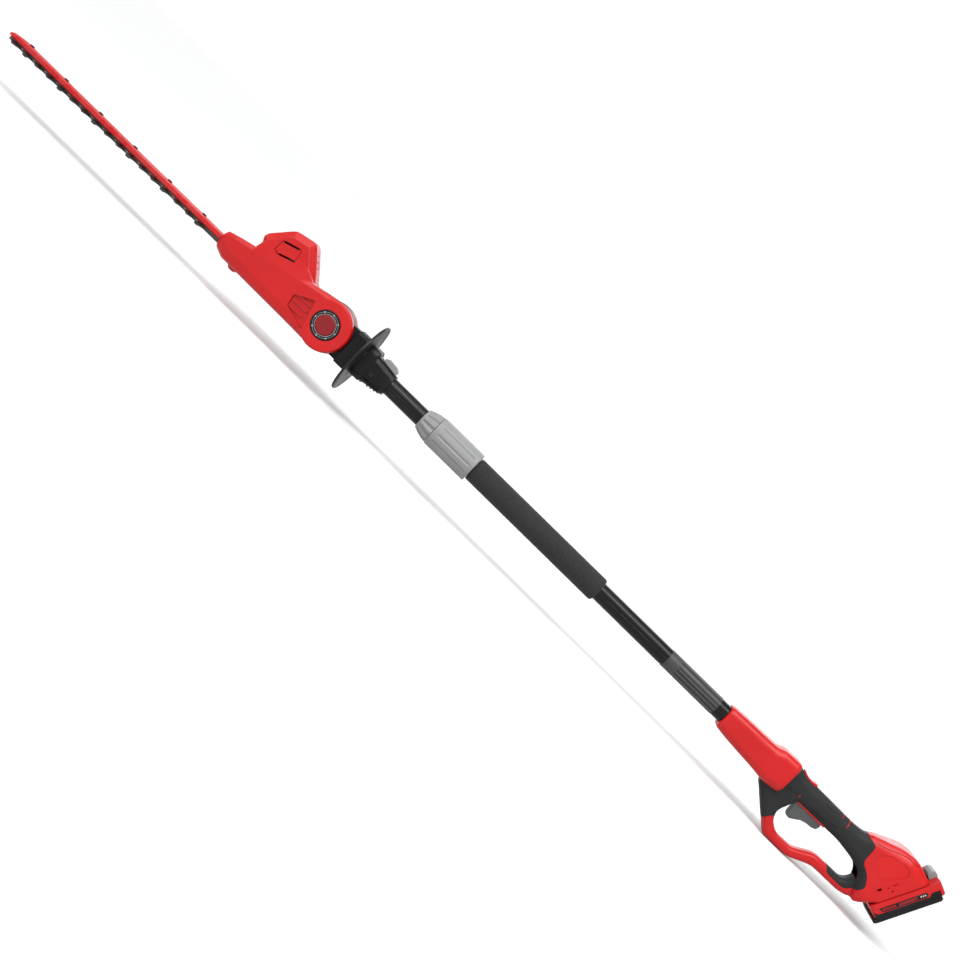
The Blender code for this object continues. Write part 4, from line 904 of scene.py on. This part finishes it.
# Stations of (x, low z, high z, half width)
NECK_BLOCK = ((-270.5, -31.0, 31.0, 21.0), (-268.5, -31.0, 31.0, 23.0), (-246.8, -31.0, 31.0, 23.0))
NECK_CONE = ((-219.5, -26.6, 24.8, 22.4), (-190.0, -22.0, 21.0, 20.5), (-181.0, -19.9, 19.7, 19.6))
CONE_CORE = ((-230.0, -28.0, 26.3, 23.2), *NECK_CONE[1:], (-170.0, -17.5, 18.0, 18.6))
NECK_SCREW = (-210.5, 0.0, -6.0)
BLOCK_CORNER, CONE_CORNER = (5, 5), (17, 17)


def grown(stations, by):
    """The stations, made larger on every side."""
    return [(x, low - by, high + by, half + by) for x, low, high, half in stations]


def lattice(form, core, bars, name):
    """Ribs that stand proud of a moulding: the bars, inside the grown form and outside its core."""
    ribs = cut(common(form, join(*bars)), core)
    for side, half in zip(("left", "right"), halves(ribs)):
        place(half, f"{name}_{side}", "black", "upper_pole", "black_plastic")


def make_neck_ribs():
    """The grids of ribs on the block in front of the guard disc and on the cone behind it."""
    bars = [box((x - 0.8, x + 0.8), (-40, 40), (-50, 50)) for x in (-268.2, -263.4, -258.6, -253.8, -249.0)]
    bars += [box((-269.6, -248.2), (-40, 40), (z - 0.8, z + 0.8)) for z in (-26, -13, 0, 13, 26)]
    bars += [box((-269.6, -248.2), (y - 0.8, y + 0.8), (-50, 50)) for y in (-16, -6, 6, 16)]
    form = chamfered_loft(grown(NECK_BLOCK, 1.4), BLOCK_CORNER, BLOCK_CORNER)
    core = chamfered_loft(grown(NECK_BLOCK, -0.6), BLOCK_CORNER, BLOCK_CORNER)
    lattice(form, core, bars, "block_ribs")

    rings = (-217.6, -205.0, -198.6, -192.2, -185.8)
    bars = [box((x - 0.9, x + 0.9), (-40, 40), (-40, 14.0)) for x in rings]
    bars += [box((-218.4, -184.9), (-40, 40), (z - 0.9, z + 0.9)) for z in (-20.0, -12.5, 3.5, 11.0)]
    form = chamfered_loft(grown(NECK_CONE, 1.6), CONE_CORNER, CONE_CORNER, 6)
    form = cut(form, rod("Y", NECK_SCREW, 5.4, -40, 40))
    core = chamfered_loft(grown(CONE_CORE, -0.5), CONE_CORNER, CONE_CORNER, 6)
    lattice(form, core, bars, "cone_ribs")


DISC_BORE, TUBE_WALL = 28.3, 1.3


def make_guard_disc():
    x_low, x_high = span("guard_disc")
    x, r = (x_low + x_high) / 2, radius_of("guard_disc")
    front = [(-2.6, DISC_BORE), (-2.6, 33.5), (-2.3, 34.6), (-1.3, 36.5), (-1.1, 40), (-1.1, r - 3.5)]
    rim = [(-2.1, r - 1.8), (-2.1, r - 0.8), (-1.4, r - 0.15), (1.0, r - 0.05), (1.7, r - 0.8)]
    back = [(1.9, r - 3.0), (1.6, 40), (1.9, 36.5), (2.4, 34.6), (2.6, 33.5), (2.6, DISC_BORE)]
    profile = [(x + offset, radius) for offset, radius in front + rim + back]
    disc = turned(profile, "X", sides=160, tube=True)
    place(disc, "guard_disc_skin", "guard", "upper_pole", "dark_grey_plastic", "guard_disc")


def make_tubes():
    for name, body in (("upper_tube", "upper_pole"), ("lower_tube", "handle")):
        start, end = span(name)
        outer = radius_of(name)
        wall = outer - TUBE_WALL
        front = [(start, wall), (start, outer - 0.2), (start + 0.2, outer), (start + 3, outer)]
        back = [(end - 3, outer), (end - 0.2, outer), (end, outer - 0.2), (end, wall)]
        tube = turned(front + back, "X", tube=True)
        if name == "upper_tube":
            tube = cut(tube, rod("Y", NECK_SCREW, SCREW_BORE, -40, 40, 24))
        place(tube, name + "_skin", "tube", body, "tube_paint", name)


def make_foam_grip():
    start, end = span("foam_grip")
    outer = radius_of("foam_grip")
    inner = radius_of("lower_tube") + GAP
    front = [(start, outer - 2.2), (start + 0.7, outer - 0.7), (start + 2.2, outer - 0.05)]
    back = [(end - 4, outer - 0.05), (end - 1.4, outer - 0.9), (end - 0.3, outer - 2.4), (end, outer - 3.4)]
    profile = [(start, inner)] + eased(front + back, 12.0) + [(end, inner)]
    foam = turned(profile, "X", sides=112, tube=True)
    place(foam, "foam_sleeve", "foam", "handle", "foam", "foam_grip")


def make_label():
    start, end = span("tube_label")
    inner = radius_of("lower_tube") + 0.1
    label = turned([(start, inner), (start, inner + 0.3), (end, inner + 0.3), (end, inner)], "X", tube=True)
    place(label, "tube_label_skin", "film", "handle", "label", "tube_label")


def scallop(angle, count, share):
    """How deep into one of a round's flutes an angle is, from 0 at its edge to 1 in its middle."""
    turn = 2 * math.pi / count
    off = abs((angle / turn + 0.5) % 1.0 - 0.5) * 2 / share
    return max(0.0, 1.0 - off * off)


def window(x, start, end, ramp):
    """1 between start and end, easing to 0 over the ramp at both."""
    rise = min(1.0, max(0.0, (x - start) / ramp))
    fall = min(1.0, max(0.0, (end - x) / ramp))
    t = min(rise, fall)
    return t * t * (3 - 2 * t)


BARREL, PLUG_BORE, PLUG_START = 21.3, 12.3, -91.7  # radius, radius, x
NUT_BORE, NUT_STEP = 21.8, -38.5  # radius, and the x where the bore narrows to the lower tube


def make_coupling():
    """The fluted crown, whose barrel goes into the nut, and the fluted nut on the lower tube."""
    make_crown()
    make_nut()


def make_crown():
    front, barrel_end = span("coupling_crown")
    back = span("coupling_nut")[0] - 0.6
    bore = radius_of("upper_tube") + GAP
    nose = [(front, bore + 1.2), (front + 0.5, bore + 2.0), (front + 1.6, bore + 2.8)]
    body = [(front + 9.0, 21.5), (front + 18.0, 24.2), (back - 1.6, 25.3), (back - 0.5, 25.2), (back, 24.8)]
    barrel = [(back, BARREL), (barrel_end, BARREL), (barrel_end, PLUG_BORE)]
    inside = [(PLUG_START, PLUG_BORE), (PLUG_START, bore), (front, bore)]

    def crown_flutes(x, angle):
        return 2.9 * window(x, front + 2.0, back + 3.0, 5.0) * scallop(angle, 12, 0.7)

    profile = eased(nose + body, 1.2) + barrel + inside
    crown = turned(profile, "X", sides=240, tube=True, carve=crown_flutes)
    place(crown, "coupling_crown_skin", "grey", "upper_pole", "grey_plastic", "coupling_crown")


def make_nut():
    start, end = span("coupling_nut")
    r = radius_of("coupling_nut", "Z") - 0.1
    front = [(start, r - 1.4), (start + 0.4, r - 0.6), (start + 1.3, r)]
    back = [(end - 1.3, r), (end - 0.4, r - 0.7), (end, r - 1.6)]
    inner = radius_of("lower_tube") + 0.4
    bores = [(end, inner), (NUT_STEP, inner), (NUT_STEP, NUT_BORE), (start, NUT_BORE)]

    def nut_flutes(x, angle):
        return 1.5 * window(x, start + 8.0, end - 6.0, 4.5) * scallop(angle, 12, 0.34)

    nut = turned(eased(front + back, 1.6) + bores, "X", sides=240, tube=True, carve=nut_flutes)
    place(nut, "coupling_nut_skin", "grey", "coupling_nut", "grey_plastic", "coupling_nut")


# --- blades

BLADE_STROKE = 6.0  # each way from the middle
BLADE_HALF_WIDTH, TOOTH_REACH = 12.0, 30.0
TOOTH_PITCH, TOOTH_COUNT, FIRST_TOOTH, TOOTH_STAGGER = 25.4, 17, -985.0, 3.0
FIRST_BOLT, BOLT_PITCH, BOLT_COUNT, BOLT_RADIUS = -960.0, 3 * TOOTH_PITCH, 6, 2.5
EDGE_LAND, GROUND_IN = 0.7, 1.5  # thickness left at the edge, and how far in the bevel runs
ECCENTRIC_ROOM = 8.6  # the eccentrics' radius and a clearance


def blade_outline(stagger, ground):
    """A blade's edge in plan; ground is how far the bevel takes each tooth in."""
    tail_x, tail_width = GEAR_X + 26.0, 18.5
    edge = [(tail_x, tail_width), (GEAR_X - 26.0, tail_width), (GEAR_X - 34.0, BLADE_HALF_WIDTH)]
    for i in reversed(range(TOOTH_COUNT)):
        root = FIRST_TOOTH + TOOTH_PITCH * i + stagger
        reach = TOOTH_REACH - ground * 0.6
        rear = ((15.0 - ground, BLADE_HALF_WIDTH), (11.3 - ground, reach - 1.2), (10.2 - ground, reach))
        front = ((5.8 + ground, reach), (4.7 + ground, reach - 1.2), (ground, BLADE_HALF_WIDTH))
        edge += [(root + x, y) for x, y in rear + front]
    edge.append((FIRST_TOOTH - 6.0 + stagger, 6.0))
    return edge + [(x, -y) for x, y in reversed(edge)]


def slot_outline(centre_x, half_length, half_width):
    """A slot along X with round ends, in plan."""
    points = []
    steps = 10
    for end, start in ((1, -90), (-1, 90)):
        for step in range(steps + 1):
            angle = math.radians(start + 180.0 * step / steps)
            x = centre_x + end * (half_length - half_width) + half_width * math.cos(angle)
            points.append((x, half_width * math.sin(angle)))
    return points


def make_blades():
    """Two toothed blades, ground to a bevel on the sides that face away from each other."""
    upper_bottom, upper_top = span("upper_blade", "Z")
    lower_bottom, lower_top = span("lower_blade", "Z")
    upper = ((upper_bottom, 0.0), (upper_bottom + EDGE_LAND, 0.0), (upper_top, GROUND_IN))
    lower = ((lower_bottom, GROUND_IN), (lower_top - EDGE_LAND, 0.0), (lower_top, 0.0))
    across = BLADE_STROKE + ECCENTRIC_ROOM
    along = across + BLADE_STROKE
    opening = [(GEAR_X + i * along, j * across) for i, j in ((-1, -1), (1, -1), (1, 1), (-1, 1))]
    half_slot, slot_half_width = BLADE_STROKE + BOLT_RADIUS + 0.5, BOLT_RADIUS + 0.4
    for name, side, layers in (("upper_blade", -1, upper), ("lower_blade", 1, lower)):
        stagger = side * TOOTH_STAGGER
        blade = skin([[(x, y, z) for x, y in blade_outline(stagger, ground)] for z, ground in layers])
        bottom, top = layers[0][0] - 1, layers[-1][0] + 1
        for i in range(BOLT_COUNT):
            hole = slot_outline(FIRST_BOLT + BOLT_PITCH * i, half_slot, slot_half_width)
            blade = cut(blade, slab(hole, bottom, top))
        blade = cut(blade, slab(opening, bottom, top))
        place(blade, name + "_ground", "blade", name, "blade_steel", name)


# --- battery trim


def pack_prism(outline, y_low, y_high):
    """An (along, out) outline on the battery's side, extruded across the tool."""
    return skin([[pack_point(a, y, h) for a, h in outline] for y in (y_low, y_high)])


def pack_row(count, first, pitch, width, across, out):
    """Equal blocks in a row along the battery's side, as one piece."""
    starts = [first + pitch * i for i in range(count)]
    return join(*[pack_box((a, a + width), across, out) for a in starts])


CHARGE_PANEL = [(-44.0, 8.6), (-40.0, 15.6), (31.0, 15.6), (35.0, 12.0), (33.0, 8.6)]
CHARGE_WINDOW = [(-12.0, 9.8), (-14.0, 14.2), (16.0, 14.2), (18.0, 9.8)]
CASE_SKIRT = [(-54, 21.3), (-54, 12.5), (-47.5, 16.8), (36, 16.8), (41, 12), (54, 12), (54, 21.3)]


def make_battery_trim():
    """The case's dark skirts, and the charge panel on its left side with a window, lights and ribs."""
    lights = (3, 22.0, 3.4, 2.2, (-38.1, -37.5), (10.6, 13.2))
    ribs = (7, -39.0, 3.2, 1.5, (-38.15, -37.5), (10.2, 13.8))
    for solid, name, look, slot in (
        (pack_prism(CHARGE_PANEL, -37.95, -37.2), "charge_panel", "black", "black_plastic"),
        (pack_prism(CASE_SKIRT, -38.1, -37.2), "case_skirt_left", "black", "black_plastic"),
        (pack_prism(CASE_SKIRT, 37.2, 38.1), "case_skirt_right", "black", "black_plastic"),
        (pack_prism(CHARGE_WINDOW, -38.15, -37.5), "charge_window", "deep_red_and_shade", "red_plastic"),
        (pack_row(*lights), "charge_lights", "print", "grey_plastic"),
        (pack_row(*ribs), "charge_ribs", "red", "red_plastic"),
    ):
        place(solid, name, look, "battery", slot)


# --- floor, lights and camera


def make_floor():
    mesh = bmesh.new()
    bmesh.ops.create_circle(mesh, cap_ends=True, radius=40.0, segments=96)
    floor = link(mesh)
    floor.name = "floor"
    floor.location.z = -0.5 * MM
    look = moulded("pale_floor", (0.62, 0.62, 0.62), (0.7, 0.8), 0.01, 300.0, 0.02, wear_and_highlight=0.0)
    floor.data.materials.append(look)


def make_world():
    """White up to well above the horizon, and grey overhead."""
    world = bpy.data.worlds.new("studio")
    bpy.context.scene.world = world
    world.use_nodes = True
    nodes, links = world.node_tree.nodes, world.node_tree.links
    direction = nodes.new("ShaderNodeTexCoord")
    split = nodes.new("ShaderNodeSeparateXYZ")
    ramp = nodes.new("ShaderNodeValToRGB")
    ramp.color_ramp.elements[0].position = 0.45
    ramp.color_ramp.elements[0].color = (1.0, 1.0, 1.0, 1.0)
    ramp.color_ramp.elements[1].position = 0.62
    ramp.color_ramp.elements[1].color = (0.3, 0.31, 0.32, 1.0)
    links.new(direction.outputs["Generated"], split.inputs["Vector"])
    links.new(split.outputs["Z"], ramp.inputs["Fac"])
    links.new(ramp.outputs["Color"], nodes["Background"].inputs["Color"])
    nodes["Background"].inputs["Strength"].default_value = 1.02


def make_lights():
    """Two wide soft suns, and a long box lamp above the near side."""
    suns = (("key_sun", (-0.25, -0.45, 0.9), 3.3, 70.0), ("back_sun", (0.15, 0.8, 0.6), 0.9, 40.0))
    for name, toward, strength, spread in suns:
        sun = bpy.data.lights.new(name, "SUN")
        sun.energy = strength
        sun.angle = math.radians(spread)
        hang_lamp(name, sun, toward)
    softbox = bpy.data.lights.new("softbox", "AREA")
    softbox.shape = "RECTANGLE"
    softbox.size, softbox.size_y = 2.6, 0.25
    softbox.energy = 40.0
    hang_lamp("softbox", softbox, (0.1, -1.3, 1.9))


def hang_lamp(name, light, position):
    """A lamp at the position, turned to the middle of the tool."""
    lamp = bpy.data.objects.new(name, light)
    lamp.location = position
    aim = Vector((0.0, 0.0, AXIS_Z)) - Vector(position)
    lamp.rotation_euler = aim.to_track_quat("-Z", "Y").to_euler()
    bpy.context.scene.collection.objects.link(lamp)


def make_camera():
    """From the left, a little above the pole, and rolled so that the pole runs down across the frame."""
    camera = bpy.data.objects.new("camera", bpy.data.cameras.new("camera"))
    camera.data.lens = 48.0
    camera.data.sensor_width = 36.0
    distance, elevation, roll = 2.05, math.radians(5.5), math.radians(44.4)
    back = Vector((0.0, -math.cos(elevation), math.sin(elevation)))
    level_up = Vector((0.0, math.sin(elevation), math.cos(elevation)))
    right = Vector((math.cos(roll), 0.0, 0.0)) + math.sin(roll) * level_up
    up = Vector((-math.sin(roll), 0.0, 0.0)) + math.cos(roll) * level_up
    target = Vector((38.5 * MM, 0.0, AXIS_Z - 7.0 * MM))
    turn = Matrix((right, up, back)).transposed().to_4x4()
    camera.matrix_world = Matrix.Translation(target + distance * back) @ turn
    bpy.context.scene.collection.objects.link(camera)
    bpy.context.scene.camera = camera


make_camera()
make_floor()
make_world()
make_lights()
dress_nodes()
make_handle()
make_grip_trim()
make_head()
make_dial()
make_neck_ribs()
make_guard_disc()
make_tubes()
make_foam_grip()
make_label()
make_coupling()
make_blades()
make_battery_trim()
bpy.context.scene.view_settings.view_transform = "Standard"
